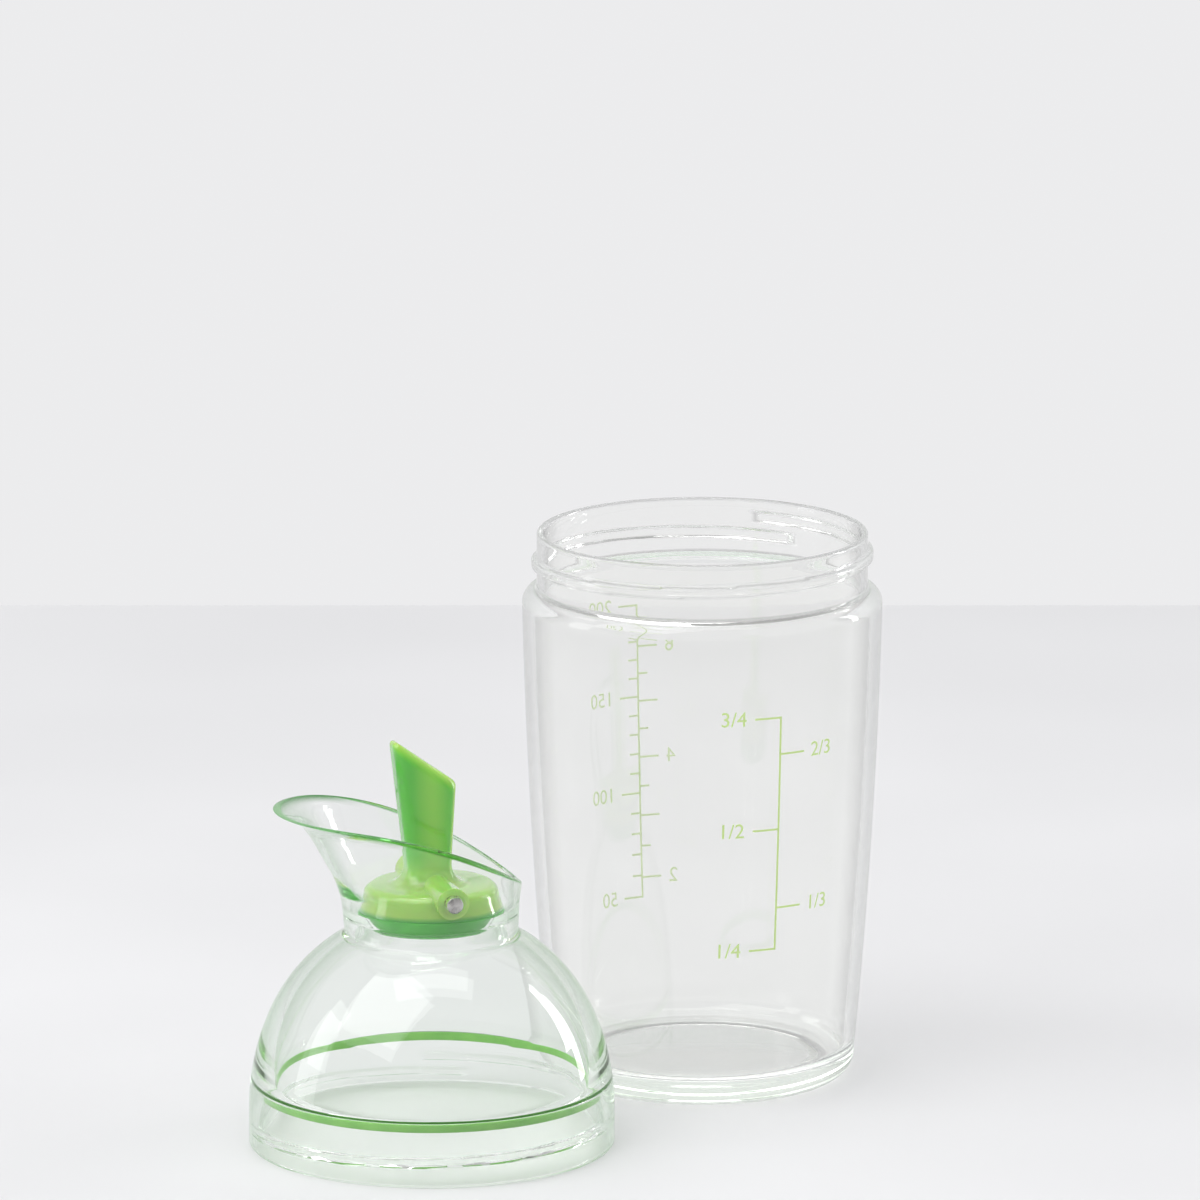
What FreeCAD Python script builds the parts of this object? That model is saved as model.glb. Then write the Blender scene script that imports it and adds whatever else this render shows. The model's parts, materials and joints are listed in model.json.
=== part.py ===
"""Salad dressing shaker bottle: an open jar, and its pouring lid standing beside it.

All lengths are millimetres. The jar stands on the origin with +Z up. The lid is drawn about
its own axis with its spout towards -X and its pivot pin along Y, and is then set on the table
in front of the jar, turned a little towards the viewer.
"""
import FreeCAD, Part
import math
import os
import Sketcher
from types import SimpleNamespace

SIZES = {
    # jar: a bowed barrel, a rounded shoulder and a straight neck
    "jar_height": 102.0,
    "jar_shoulder_radius": 33.0,
    "jar_taper": 4.8,
    "jar_bow_radius": 1180.0,
    "jar_wall": 2.2,
    "jar_floor": 3.5,
    "jar_edge_radius": 4.6,
    "jar_rest_width": 2.0,
    "jar_push_up": 1.0,
    "jar_push_up_run": 1.6,
    "neck_step": 2.7,
    "neck_height": 10.5,
    "neck_wall": 1.3,
    "shoulder_slope": 2.0,
    "jar_inner_edge": 3.0,
    # lid: a skirt that takes the jar's neck, a dome a little narrower, and a waist
    "skirt_height": 6.2,
    "dome_step": 1.0,
    "dome_rise": 4.7,
    "dome_wall": 1.6,
    "waist_radius": 15.65,
    "thread_room": 1.1,
    "gasket_thickness": 1.6,
    "gasket_width": 2.3,
    "skirt_gap": 0.7,
    "gasket_gap": 0.15,
    "ledge_width": 2.5,
    # the stopper's seat in the waist, and the pin that the stopper tips on
    "seat_step": 2.15,
    "seat_height": 3.05,
    "seat_flare": 2.2,
    "throat_wall": 0.8,
    "throat_drop": 1.1,
    "pin_radius": 1.5,
    "pin_height": 8.55,
    "pin_short": 0.35,
    "pin_chamfer": 0.3,
    "pin_press": 0.02,
    "pin_play": 0.08,
    "running_gap": 0.3,
    "boss_radius": 2.9,
    "boss_gap": 0.7,
    # plug and thumb lever, heights taken from the waist
    "plug_gap": 0.4,
    "plug_lean": 0.9,
    "plug_crown_step": 1.6,
    "plug_top": 9.25,
    "plug_shoulder": 7.45,
    "plug_crown_round": 1.9,
    "plug_bottom": 1.15,
    "seal_width": 2.2,
    "seal_lip": 0.8,
    "seal_bottom": 2.45,
    "seal_height": 2.1,
    "seal_chamfer": 0.7,
    "seal_grip": 0.05,
    "blade_thickness": 6.0,
    "blade_sink": 2.0,
    "blade_front_foot": 4.1,
    "blade_rear_foot": 3.1,
    "blade_front_top": 7.5,
    "blade_rear_top": 4.35,
    "blade_front_height": 36.5,
    "blade_rear_height": 27.85,
    "blade_round": 1.2,
    # spout: its rim's heights and overhangs from the waist, and its sweep in side view
    "rim_rear_height": 8.65,
    "rim_tip_height": 23.6,
    "rim_rear_overhang": 0.75,
    "rim_tip_overhang": 13.15,
    "rim_sweep_radius": 72.0,
    "rim_round": 0.35,
    "waist_round": 1.8,
    "spout_wall": 1.3,
    "spout_inner_lift": 0.4,
    # where the lid stands on the table, clear of the jar
    "lid_x": -49.0,
    "lid_room": 2.95,
    "lid_turn": 16.5,
}

# Each station of the spout in shares: its height in the tip's height above the waist, and then in
# the tip's overhang its flare to the front and to the rear, and how much less it flares to the sides.
SPOUT_STATIONS = [
    (0.25, 0.04, 0.02, 0.01),
    (0.42, 0.13, 0.06, 0.03),
    (0.615, 0.32, 0.09, 0.08),
    (0.8, 0.51, 0.11, 0.12),
    (0.935, 0.73, 0.15, 0.12),
    (1.03, 1.14, 0.18, 0.12),
]
STATION_SHARES = ("spout_height", "spout_front", "spout_rear", "spout_side_in")

FULL_TURN = 360
# how far the cut that shapes the rim runs past the spout
CLEAR = 40.0
# share of a lip's thickness that each of its two edges is rounded by
LIP_SHARE = 0.4
# share of the crown beside the blade that the blade's root is rounded over
ROOT_SHARE = 0.5
# how closely an edge is matched to a size
TOLERANCE = 0.01

document = FreeCAD.newDocument("shaker_bottle")


class Size:
    """A length that the sheet drives: its expression, and its value for the first drawing."""

    def __init__(self, text, value):
        self.text = text
        self.value = value

    def join(self, sign, other, value):
        return Size(f"({self.text} {sign} {other.text})", value)

    def __add__(self, other):
        other = as_size(other)
        return self.join("+", other, self.value + other.value)

    def __sub__(self, other):
        other = as_size(other)
        return self.join("-", other, self.value - other.value)

    def __mul__(self, other):
        other = as_size(other)
        return self.join("*", other, self.value * other.value)

    def __truediv__(self, other):
        other = as_size(other)
        return self.join("/", other, self.value / other.value)

    def __neg__(self):
        return as_size(0) - self


def as_size(value):
    """Let a plain number stand beside the sheet's sizes."""
    return value if isinstance(value, Size) else Size(str(value), value)


def root(size):
    """The square root of an area."""
    return Size(f"sqrt({size.text})", math.sqrt(size.value))


def fill_sheet():
    """Write every driving size to the sheet, and give them back by name."""
    for number, station in enumerate(SPOUT_STATIONS, start=1):
        for name, value in zip(STATION_SHARES, station):
            SIZES[f"{name}_{number}"] = value
    sheet = document.addObject("Spreadsheet::Sheet", "sizes")
    for row, (name, value) in enumerate(SIZES.items(), start=1):
        sheet.set(f"A{row}", name)
        sheet.set(f"B{row}", str(value))
        sheet.setAlias(f"B{row}", name)
    document.recompute()
    return SimpleNamespace(**{
        name: Size(f"sizes.{name}", float(sheet.get(name))) for name in SIZES
    })


size = fill_sheet()


def draw_outline(sketch, outline):
    """Draw a closed outline in a sketch and tie every corner to the sheet.

    A corner is (x, y), or (x, y, radius) where an arc leads to the next corner. The arc bends to
    the left of the way there, or to the right where the radius is given as negative.
    """
    corners = [(as_size(corner[0]), as_size(corner[1])) for corner in outline]
    radii = [as_size(corner[2]) if len(corner) > 2 else None for corner in outline]
    starts = []
    ends = []
    for number, radius in enumerate(radii):
        here = [part.value for part in corners[number]]
        there = [part.value for part in corners[(number + 1) % len(corners)]]
        if radius is None:
            line = Part.LineSegment(FreeCAD.Vector(*here), FreeCAD.Vector(*there))
            index = sketch.addGeometry(line, False)
            starts.append((index, 1))
            ends.append((index, 2))
            continue
        index = sketch.addGeometry(arc_between(here, there, radius.value), False)
        turns_left = radius.value > 0
        starts.append((index, 1 if turns_left else 2))
        ends.append((index, 2 if turns_left else 1))
        length = radius if turns_left else -radius
        tie(sketch, Sketcher.Constraint("Radius", index, length.value), length)
    for number, (x, y) in enumerate(corners):
        sketch.addConstraint(Sketcher.Constraint("Coincident", *ends[number - 1], *starts[number]))
        place(sketch, starts[number], x, y)


def arc_between(here, there, radius):
    """The short arc from one point to another, to the left of its way if the radius is positive."""
    middle_x = (here[0] + there[0]) / 2
    middle_y = (here[1] + there[1]) / 2
    half_x = (there[0] - here[0]) / 2
    half_y = (there[1] - here[1]) / 2
    half = math.hypot(half_x, half_y)
    reach = math.copysign(math.sqrt(radius * radius - half * half), radius) / half
    centre = FreeCAD.Vector(middle_x - half_y * reach, middle_y + half_x * reach)
    first, last = (here, there) if radius > 0 else (there, here)
    circle = Part.Circle(centre, FreeCAD.Vector(0, 0, 1), abs(radius))
    angles = [math.atan2(end[1] - centre.y, end[0] - centre.x) for end in (first, last)]
    if angles[1] < angles[0]:
        angles[1] += 2 * math.pi
    return Part.ArcOfCircle(circle, *angles)


def tie(sketch, constraint, length):
    """Add a constraint and bind its value to the sheet."""
    index = sketch.addConstraint(constraint)
    sketch.setExpression(f"Constraints[{index}]", length.text)


def place(sketch, point, x, y):
    """Hold a point of a sketch at x and y from the sketch's origin."""
    for kind, axis, length in (("DistanceX", -2, x), ("DistanceY", -1, y)):
        if length.text == "0":
            sketch.addConstraint(Sketcher.Constraint("PointOnObject", *point, axis))
        else:
            tie(sketch, Sketcher.Constraint(kind, -1, 1, *point, length.value), length)


def new_body(name):
    """A body whose label names the piece."""
    body = document.addObject("PartDesign::Body", name)
    body.Label = name
    return body


def new_sketch(body, name, plane="XZ_Plane", lift=None):
    """An empty sketch on one of the body's own planes, lifted off it where a height is given."""
    sketch = body.newObject("Sketcher::SketchObject", name)
    origin_plane = next(item for item in body.Origin.OriginFeatures if item.Role == plane)
    sketch.AttachmentSupport = [(origin_plane, "")]
    sketch.MapMode = "FlatFace"
    if lift is not None:
        sketch.setExpression("AttachmentOffset.Base.z", lift.text)
    return sketch


def turned(body, name, outline, kind="PartDesign::Revolution"):
    """A full turn of an outline about the body's upright axis."""
    sketch = new_sketch(body, f"{name}_outline")
    draw_outline(sketch, outline)
    feature = body.newObject(kind, name)
    feature.Profile = sketch
    feature.ReferenceAxis = (sketch, ["V_Axis"])
    feature.Angle = FULL_TURN
    document.recompute()
    return feature


def circle_sketch(body, name, radius, x=0, y=0, plane="XZ_Plane", lift=None):
    """A sketch of one circle."""
    sketch = new_sketch(body, name, plane, lift)
    centre = FreeCAD.Vector(as_size(x).value, as_size(y).value)
    index = sketch.addGeometry(Part.Circle(centre, FreeCAD.Vector(0, 0, 1), radius.value), False)
    place(sketch, (index, 3), as_size(x), as_size(y))
    tie(sketch, Sketcher.Constraint("Radius", index, radius.value), radius)
    return sketch


def ellipse_sketch(body, name, front, rear, half_width, lift):
    """A level ellipse that reaches front towards -X, rear towards +X and half_width to each side."""
    sketch = new_sketch(body, name, "XY_Plane", lift)
    centre_x = (rear.value - front.value) / 2
    tip = FreeCAD.Vector(rear.value, 0)
    side = FreeCAD.Vector(centre_x, half_width.value)
    oval = sketch.addGeometry(Part.Ellipse(tip, side, FreeCAD.Vector(centre_x, 0)), False)
    sketch.exposeInternalGeometry(oval)
    long_axis = oval + 1
    short_axis = oval + 2
    ends = sorted((1, 2), key=lambda end: sketch.getPoint(long_axis, end).x)
    place(sketch, (long_axis, ends[0]), -front, as_size(0))
    place(sketch, (long_axis, ends[1]), rear, as_size(0))
    width = half_width * 2
    tie(sketch, Sketcher.Constraint("Distance", short_axis, width.value), width)
    return sketch


def through_cut(body, name, sketch):
    """Cut a sketch through the whole body, to both sides of its plane."""
    before = body.Tip.Shape.Volume
    cut = body.newObject("PartDesign::Pocket", name)
    cut.Profile = sketch
    cut.Type = "ThroughAll"
    cut.SideType = "Symmetric"
    document.recompute()
    if not cut.Shape.Volume < before:
        raise RuntimeError(f"{name} cuts nothing")
    return cut


def padded_both_ways(body, name, sketch, length):
    """Pad a sketch by a length shared evenly between both sides of its plane."""
    pad = body.newObject("PartDesign::Pad", name)
    pad.Profile = sketch
    pad.SideType = "Symmetric"
    pad.setExpression("Length", length.text)
    document.recompute()
    return pad


def dress_edges(body, name, wanted, kind, size_name, length):
    """Round or chamfer the edges of the body for which wanted says yes."""
    base = body.Tip
    edges = [f"Edge{number}" for number, edge in enumerate(base.Shape.Edges, start=1) if wanted(edge)]
    if not edges:
        raise RuntimeError(f"{name} finds no edge")
    feature = body.newObject(kind, name)
    feature.Base = (base, edges)
    feature.setExpression(size_name, length.text)
    document.recompute()
    return feature


def round_edges(body, name, wanted, radius):
    """Fillet the edges of the body for which wanted says yes."""
    return dress_edges(body, name, wanted, "PartDesign::Fillet", "Radius", radius)


def is_level(edge, height):
    """Whether an edge lies flat at a height."""
    box = edge.BoundBox
    return box.ZLength < TOLERANCE and abs(box.ZMin - height.value) < TOLERANCE


def ring_edge(radius, height):
    """A test for level circles of a given radius and height."""

    def wanted(edge):
        return is_level(edge, height) and abs(edge.BoundBox.XLength / 2 - radius.value) < TOLERANCE

    return wanted


neck_radius = size.jar_shoulder_radius - size.neck_step
foot_radius = size.jar_shoulder_radius - size.jar_taper


def make_jar():
    """A clear jar: a bowed barrel on a pushed-up base, a rounded shoulder and a straight neck."""
    body = new_body("jar")
    rest_outer = foot_radius - size.jar_edge_radius
    rest_inner = rest_outer - size.jar_rest_width
    neck_base = size.jar_height - size.neck_height
    neck_inner = neck_radius - size.neck_wall
    barrel_inner = size.jar_shoulder_radius - size.jar_wall
    slope_top = neck_base - size.neck_wall
    floor = size.jar_push_up + size.jar_floor
    foot_inner = foot_radius - size.jar_wall
    inner_bow = size.jar_bow_radius - size.jar_wall
    turned(body, "jar_shell", [
        (0, size.jar_push_up),
        (rest_inner - size.jar_push_up_run, size.jar_push_up),
        (rest_inner, 0),
        (rest_outer, 0, size.jar_edge_radius),
        (foot_radius, size.jar_edge_radius, size.jar_bow_radius),
        (size.jar_shoulder_radius, neck_base - size.neck_step, size.neck_step),
        (neck_radius, neck_base),
        (neck_radius, size.jar_height),
        (neck_inner, size.jar_height),
        (neck_inner, slope_top),
        (barrel_inner, slope_top - size.shoulder_slope, -inner_bow),
        (foot_inner, floor + size.jar_inner_edge, -size.jar_inner_edge),
        (foot_inner - size.jar_inner_edge, floor),
        (0, floor),
    ])
    lip_round = size.neck_wall * LIP_SHARE
    lip_edges = [ring_edge(radius, size.jar_height) for radius in (neck_radius, neck_inner)]
    round_edges(body, "lip", lambda edge: any(test(edge) for test in lip_edges), lip_round)
    return body


# radii inside the lid
dome_radius = size.jar_shoulder_radius - size.dome_step
skirt_bore = neck_radius + size.thread_room
seat_radius = size.waist_radius - size.seat_step
throat_radius = size.waist_radius - size.throat_wall
seal_outer = seat_radius - size.running_gap
seal_inner = seal_outer - size.seal_width

# heights inside the lid, from the table that its skirt stands on
dome_centre = size.skirt_height + size.dome_rise
waist = dome_centre + root(dome_radius * dome_radius - size.waist_radius * size.waist_radius)
pin_level = waist + size.pin_height
throat_top = waist + size.rim_rear_height - size.throat_drop
gasket_bottom = size.neck_height - size.skirt_gap
gasket_ledge = gasket_bottom + size.gasket_thickness


def on_lid(body):
    """Set a piece that is drawn about the lid's axis where the lid stands."""
    apart = size.jar_shoulder_radius * 2 + size.lid_room
    lid_y = -root(apart * apart - size.lid_x * size.lid_x)
    body.setExpression("Placement.Base.x", size.lid_x.text)
    body.setExpression("Placement.Base.y", lid_y.text)
    body.Placement.Rotation = FreeCAD.Rotation(FreeCAD.Vector(0, 0, 1), size.lid_turn.value)
    body.setExpression("Placement.Rotation.Angle", size.lid_turn.text)
    document.recompute()
    return body


def add_dome(body):
    """The outside of skirt and dome: a straight skirt that runs smoothly into a round crown."""
    skirt = size.jar_shoulder_radius
    rise = size.dome_rise
    flank = (skirt * skirt + rise * rise - dome_radius * dome_radius) / (size.dome_step * 2)
    spread = flank - dome_radius
    turned(body, "dome", [
        (0, 0),
        (skirt, 0),
        (skirt, size.skirt_height, flank),
        ((flank - skirt) * dome_radius / spread, size.skirt_height + flank * rise / spread, dome_radius),
        (size.waist_radius, waist),
        (0, waist),
    ])


def spout_station(number):
    """A station's height, its reach to the front and to the rear, and its half width."""
    height, front, rear, side_in = [getattr(size, f"{share}_{number}") for share in STATION_SHARES]
    reach_front = size.waist_radius + size.rim_tip_overhang * front
    reach_rear = size.waist_radius + size.rim_tip_overhang * rear
    half_width = (reach_front + reach_rear) / 2 - size.rim_tip_overhang * side_in
    return waist + size.rim_tip_height * height, reach_front, reach_rear, half_width


def spout_skin(body, name, kind, first, first_station, pull_in, lift):
    """A smooth skin from a round first section through the spout's stations above it."""
    sections = [first]
    for number in range(first_station, len(SPOUT_STATIONS) + 1):
        height, front, rear, half_width = spout_station(number)
        sections.append(ellipse_sketch(
            body, f"{name}_station_{number}",
            front - pull_in, rear - pull_in, half_width - pull_in, height + lift,
        ))
    document.recompute()
    skin = body.newObject(kind, name)
    skin.Profile = sections[0]
    skin.Sections = sections[1:]
    document.recompute()
    return skin


def cut_rim(body):
    """Cut the spout along its rim, which sweeps down from the tip to the back of the neck."""
    rear_height = waist + size.rim_rear_height
    tip_height = waist + size.rim_tip_height
    tip_reach = size.waist_radius + size.rim_tip_overhang
    rear_reach = size.waist_radius + size.rim_rear_overhang
    top = tip_height + CLEAR
    far = tip_reach + CLEAR
    sketch = new_sketch(body, "rim_outline")
    draw_outline(sketch, [
        (far, rear_height),
        (far, top),
        (-far, top),
        (-far, tip_height),
        (-tip_reach, tip_height, -size.rim_sweep_radius),
        (rear_reach, rear_height),
    ])
    through_cut(body, "rim_cut", sketch)


def make_lid():
    """Skirt, dome, waist and flared spout: one clear moulding, open from skirt to spout."""
    body = new_body("lid")
    add_dome(body)
    root_circle = circle_sketch(body, "spout_root", size.waist_radius, plane="XY_Plane", lift=waist)
    spout_skin(body, "spout", "PartDesign::AdditiveLoft", root_circle, 1, as_size(0), as_size(0))

    inner_dome = dome_radius - size.dome_wall
    seat_bottom = dome_centre + root(inner_dome * inner_dome - seat_radius * seat_radius)
    turned(body, "hollow", [
        (0, 0),
        (skirt_bore, 0),
        (skirt_bore, gasket_ledge),
        (skirt_bore - size.ledge_width, gasket_ledge, inner_dome),
        (seat_radius, seat_bottom),
        (seat_radius, waist + size.seat_height),
        (throat_radius, waist + size.seat_height + size.seat_flare),
        (throat_radius, throat_top),
        (0, throat_top),
    ], "PartDesign::Groove")

    throat = circle_sketch(body, "throat", throat_radius, plane="XY_Plane", lift=throat_top)
    spout_skin(
        body, "passage", "PartDesign::SubtractiveLoft", throat, 3, size.spout_wall, size.spout_inner_lift
    )
    cut_rim(body)
    hole = size.pin_radius + size.pin_press
    through_cut(body, "pin_hole", circle_sketch(body, "pin_hole_outline", hole, y=pin_level))
    skirt_round = (size.jar_shoulder_radius - skirt_bore) * LIP_SHARE
    skirt_edges = [ring_edge(size.jar_shoulder_radius, as_size(0)), ring_edge(skirt_bore, as_size(0))]
    round_edges(
        body, "skirt_lip", lambda edge: any(test(edge) for test in skirt_edges), skirt_round
    )
    round_edges(body, "waist_crease", ring_edge(size.waist_radius, waist), size.waist_round)

    def on_rim(edge):
        above_throat = edge.BoundBox.ZMin > throat_top.value + TOLERANCE
        return above_throat and edge.BoundBox.ZMax > pin_level.value + size.pin_radius.value * 2

    round_edges(body, "rim", on_rim, size.rim_round)
    return on_lid(body)


def make_gasket():
    """A flat washer under the lid's ledge, which seals on the lip of the jar."""
    body = new_body("lid_gasket")
    outer = skirt_bore - size.gasket_gap
    inner = outer - size.gasket_width
    turned(body, "washer", [
        (inner, gasket_bottom),
        (outer, gasket_bottom),
        (outer, gasket_ledge),
        (inner, gasket_ledge),
    ])
    return on_lid(body)


def make_pin():
    """A steel pin through both sides of the neck."""
    body = new_body("pivot_pin")
    shank = circle_sketch(body, "shank_outline", size.pin_radius, y=pin_level)
    span = (spout_station(2)[-1] - size.pin_short) * 2
    padded_both_ways(body, "shank", shank, span)
    dress_edges(
        body, "shank_ends", lambda edge: edge.BoundBox.YLength < TOLERANCE,
        "PartDesign::Chamfer", "Size", size.pin_chamfer,
    )
    return on_lid(body)


def make_lever():
    """The thumb lever and its stopper plug, one moulding that tips on the pin."""
    body = new_body("lever")
    plug_top = waist + size.plug_top
    seal_bottom = waist + size.seal_bottom
    seal_top = seal_bottom + size.seal_height
    spigot = seal_inner - size.seal_grip
    lip = seal_inner + size.seal_lip
    plug_radius = seat_radius - size.plug_gap
    shoulder_radius = plug_radius - size.plug_lean
    crown_radius = shoulder_radius - size.plug_crown_step
    turned(body, "plug", [
        (0, waist + size.plug_bottom),
        (lip, waist + size.plug_bottom),
        (lip, seal_bottom),
        (spigot, seal_bottom),
        (spigot, seal_top),
        (plug_radius, seal_top),
        (shoulder_radius, waist + size.plug_shoulder, size.plug_crown_round),
        (crown_radius, plug_top),
        (0, plug_top),
    ])

    outline = new_sketch(body, "blade_outline")
    blade_foot = plug_top - size.blade_sink
    draw_outline(outline, [
        (-size.blade_front_foot, blade_foot),
        (size.blade_rear_foot, blade_foot),
        (size.blade_rear_top, waist + size.blade_rear_height),
        (-size.blade_front_top, waist + size.blade_front_height),
    ])
    padded_both_ways(body, "blade", outline, size.blade_thickness)

    def on_blade(edge):
        return edge.BoundBox.ZMax > plug_top.value + size.blade_round.value

    def at_blade_root(edge):
        inside_crown = edge.BoundBox.XLength < crown_radius.value * 2 - TOLERANCE
        return is_level(edge, plug_top) and inside_crown

    round_edges(body, "blade_edges", on_blade, size.blade_round)
    root_round = (crown_radius - size.blade_thickness / 2) * ROOT_SHARE
    round_edges(body, "blade_root", at_blade_root, root_round)

    boss = circle_sketch(body, "boss_outline", size.boss_radius, y=pin_level)
    padded_both_ways(body, "bosses", boss, (throat_radius - size.boss_gap) * 2)
    bore = size.pin_radius + size.pin_play
    through_cut(body, "pin_bore", circle_sketch(body, "pin_bore_outline", bore, y=pin_level))
    return on_lid(body)


def make_seal():
    """A soft ring round the foot of the plug, which closes the seat in the waist."""
    body = new_body("stopper_seal")
    bottom = waist + size.seal_bottom
    top = bottom + size.seal_height
    turned(body, "ring", [
        (seal_inner, bottom),
        (seal_outer - size.seal_chamfer, bottom),
        (seal_outer, bottom + size.seal_chamfer),
        (seal_outer, top),
        (seal_inner, top),
    ])
    return on_lid(body)


def check_and_write(bodies):
    """Stop if anything failed to build, then write each piece to its own file."""
    document.recompute()
    for item in document.Objects:
        failed = [state for state in item.State if state in ("Invalid", "Error")]
        if failed:
            raise RuntimeError(f"{item.Name} is {failed}")
    for body in bodies:
        if body.Shape.isNull() or not body.Shape.isValid():
            raise RuntimeError(f"{body.Label} has no valid shape")
    os.makedirs("parts", exist_ok=True)
    for body in bodies:
        body.Shape.exportStep(f"parts/{body.Label}.step")
        box = body.Shape.BoundBox
        print(f"{body.Label}: {len(body.Shape.Solids)} solid, {body.Shape.Volume:.1f} mm3, "
              f"{box.XLength:.2f} x {box.YLength:.2f} x {box.ZLength:.2f} mm")


check_and_write([make_jar(), make_lid(), make_gasket(), make_pin(), make_lever(), make_seal()])
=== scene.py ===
# %% [markdown]
# # A shaker bottle and its pouring lid
#
# The imported CAD model is the frame: it says how large each piece is, where it stands and how it
# moves. This lesson builds a finer skin for every piece in that same frame, with a thread, a
# printed scale and clear plastic, and then lights it on a pale table.
#
# The first cell loads the frame. What the record already says, such as the radius of the jar's
# neck, where the lid stands and how far it is turned, is read from the record, because a number
# that is written twice can drift apart. All lengths in the cells below are millimetres, and `MM`
# turns them into metres.

# %% Load the frame
import bmesh
import bpy
import json
import math
from mathutils import Matrix, Vector


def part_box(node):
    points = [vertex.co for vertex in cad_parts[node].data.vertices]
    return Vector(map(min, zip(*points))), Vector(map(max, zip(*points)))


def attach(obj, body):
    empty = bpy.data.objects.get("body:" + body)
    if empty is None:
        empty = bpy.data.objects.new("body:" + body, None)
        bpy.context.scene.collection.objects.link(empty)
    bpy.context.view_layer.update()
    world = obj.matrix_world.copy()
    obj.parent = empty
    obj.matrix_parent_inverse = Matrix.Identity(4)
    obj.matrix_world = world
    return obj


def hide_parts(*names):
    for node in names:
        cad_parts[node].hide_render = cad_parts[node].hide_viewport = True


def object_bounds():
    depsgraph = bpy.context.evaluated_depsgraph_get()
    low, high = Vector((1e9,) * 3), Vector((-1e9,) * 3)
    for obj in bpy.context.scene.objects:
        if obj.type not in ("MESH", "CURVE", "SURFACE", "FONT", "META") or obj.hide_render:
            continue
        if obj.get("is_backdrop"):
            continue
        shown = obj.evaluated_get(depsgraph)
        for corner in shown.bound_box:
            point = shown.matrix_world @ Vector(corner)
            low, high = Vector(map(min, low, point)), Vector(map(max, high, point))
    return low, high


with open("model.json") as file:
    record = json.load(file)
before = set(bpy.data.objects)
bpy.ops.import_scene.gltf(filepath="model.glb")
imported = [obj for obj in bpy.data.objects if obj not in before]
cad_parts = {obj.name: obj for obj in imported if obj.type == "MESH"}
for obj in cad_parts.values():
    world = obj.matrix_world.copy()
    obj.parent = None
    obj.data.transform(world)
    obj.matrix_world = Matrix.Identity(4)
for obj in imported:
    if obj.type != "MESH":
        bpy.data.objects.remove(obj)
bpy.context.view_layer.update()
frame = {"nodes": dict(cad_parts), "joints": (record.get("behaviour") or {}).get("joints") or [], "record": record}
MM = 0.001
mounts = {mount["name"]: mount for mount in frame["record"]["mounts"]}
joints = {joint["name"]: joint for joint in frame["joints"]}
print("frame holds", sorted(frame["nodes"]))

# %% [markdown]
# ## Turned shapes
#
# The jar, the rings and most of the lid are turned shapes: one profile, carried round an upright
# axis. They could be built from cylinders and bevels, but a profile says in one place where each
# wall and rounding is. `arc` gives the points of a rounded corner, as pairs of radius and height,
# `ladder` gives evenly spaced rows, and `ease` goes from 0 to 1 without a kink. `spun` turns a
# profile with the spin operator, merges the points that meet on the axis, and then turns all
# normals outwards.

# %% Turned shapes
TURN_STEPS = 240
TOUCHING = 1e-6


def arc(centre, radius, start, end, steps=6):
    """Points of an arc in a profile, with its angles in degrees."""
    points = []
    for step in range(steps + 1):
        angle = math.radians(start + (end - start) * step / steps)
        points.append((centre[0] + radius * math.cos(angle), centre[1] + radius * math.sin(angle)))
    return points


def ladder(first, last, step):
    """Evenly spaced heights from the first to the last, about a step apart."""
    count = max(1, round(abs(last - first) / step))
    return [first + (last - first) * i / count for i in range(count + 1)]


def ease(share):
    """A share from 0 to 1 that starts and ends gently."""
    share = min(1.0, max(0.0, share))
    return share * share * (3 - 2 * share)


def spun(profile, closed=False):
    """A mesh turned about the Z axis from pairs of radius and height."""
    made = bmesh.new()
    points = [made.verts.new((radius * MM, 0, height * MM)) for radius, height in profile]
    edges = [made.edges.new(pair) for pair in zip(points, points[1:])]
    if closed:
        edges.append(made.edges.new((points[-1], points[0])))
    bmesh.ops.spin(
        made, geom=points + edges, cent=(0, 0, 0), axis=(0, 0, 1),
        angle=math.tau, steps=TURN_STEPS, use_merge=True,
    )
    bmesh.ops.remove_doubles(made, verts=made.verts, dist=TOUCHING)
    bmesh.ops.recalc_face_normals(made, faces=made.faces)
    return made


print("profiles are turned in", TURN_STEPS, "steps")

# %% [markdown]
# ## Named pieces
#
# In the frame, a piece rides on a body, which is what a joint moves, and it may stand for the CAD
# solid of one node. `piece` settles this for every mesh below. Its faces are shaded smooth and
# its edges above the crease angle stay hard, so that a rounding looks round and a corner stays a
# corner. A bevel modifier could do the same, but here the roundings are in the meshes already.

# %% Named pieces
def piece(name, made, material, body, node=None, crease=40):
    """Makes a named piece of a mesh, which rides on a body and may stand for a CAD node."""
    for face in made.faces:
        face.smooth = True
    for edge in made.edges:
        edge.smooth = edge.calc_face_angle(0) < math.radians(crease)
    mesh = bpy.data.meshes.new(name)
    made.to_mesh(mesh)
    made.free()
    mesh.materials.append(material)
    thing = bpy.data.objects.new(name, mesh)
    bpy.context.scene.collection.objects.link(thing)
    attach(thing, body)
    if node:
        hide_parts(node)
    print(name, "has", len(mesh.polygons), "faces")


print("pieces are moved by", sorted(joints))

# %% [markdown]
# ## Tools for finishes
#
# Moulded plastic, rubber and steel never have one even finish. An image could carry that, but a
# noise over the piece's own coordinates needs no file and stays on the piece when it moves.
# `new_material` gives each material such a noise, and `noise_to` and `noise_colour` let it drive
# a number or a colour of the shader.
#
# `let_lamps_through` mixes in a Transparent shader for two kinds of ray. For rays from the lamps
# it keeps the shadow under a clear piece light, as it is on a real table. For rays that were bent
# many times it is a way out, because they would otherwise end at the renderer's limit and leave
# black patches.

# %% Tools for finishes
NOISE_LOW, NOISE_HIGH = 0.3, 0.7


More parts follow.
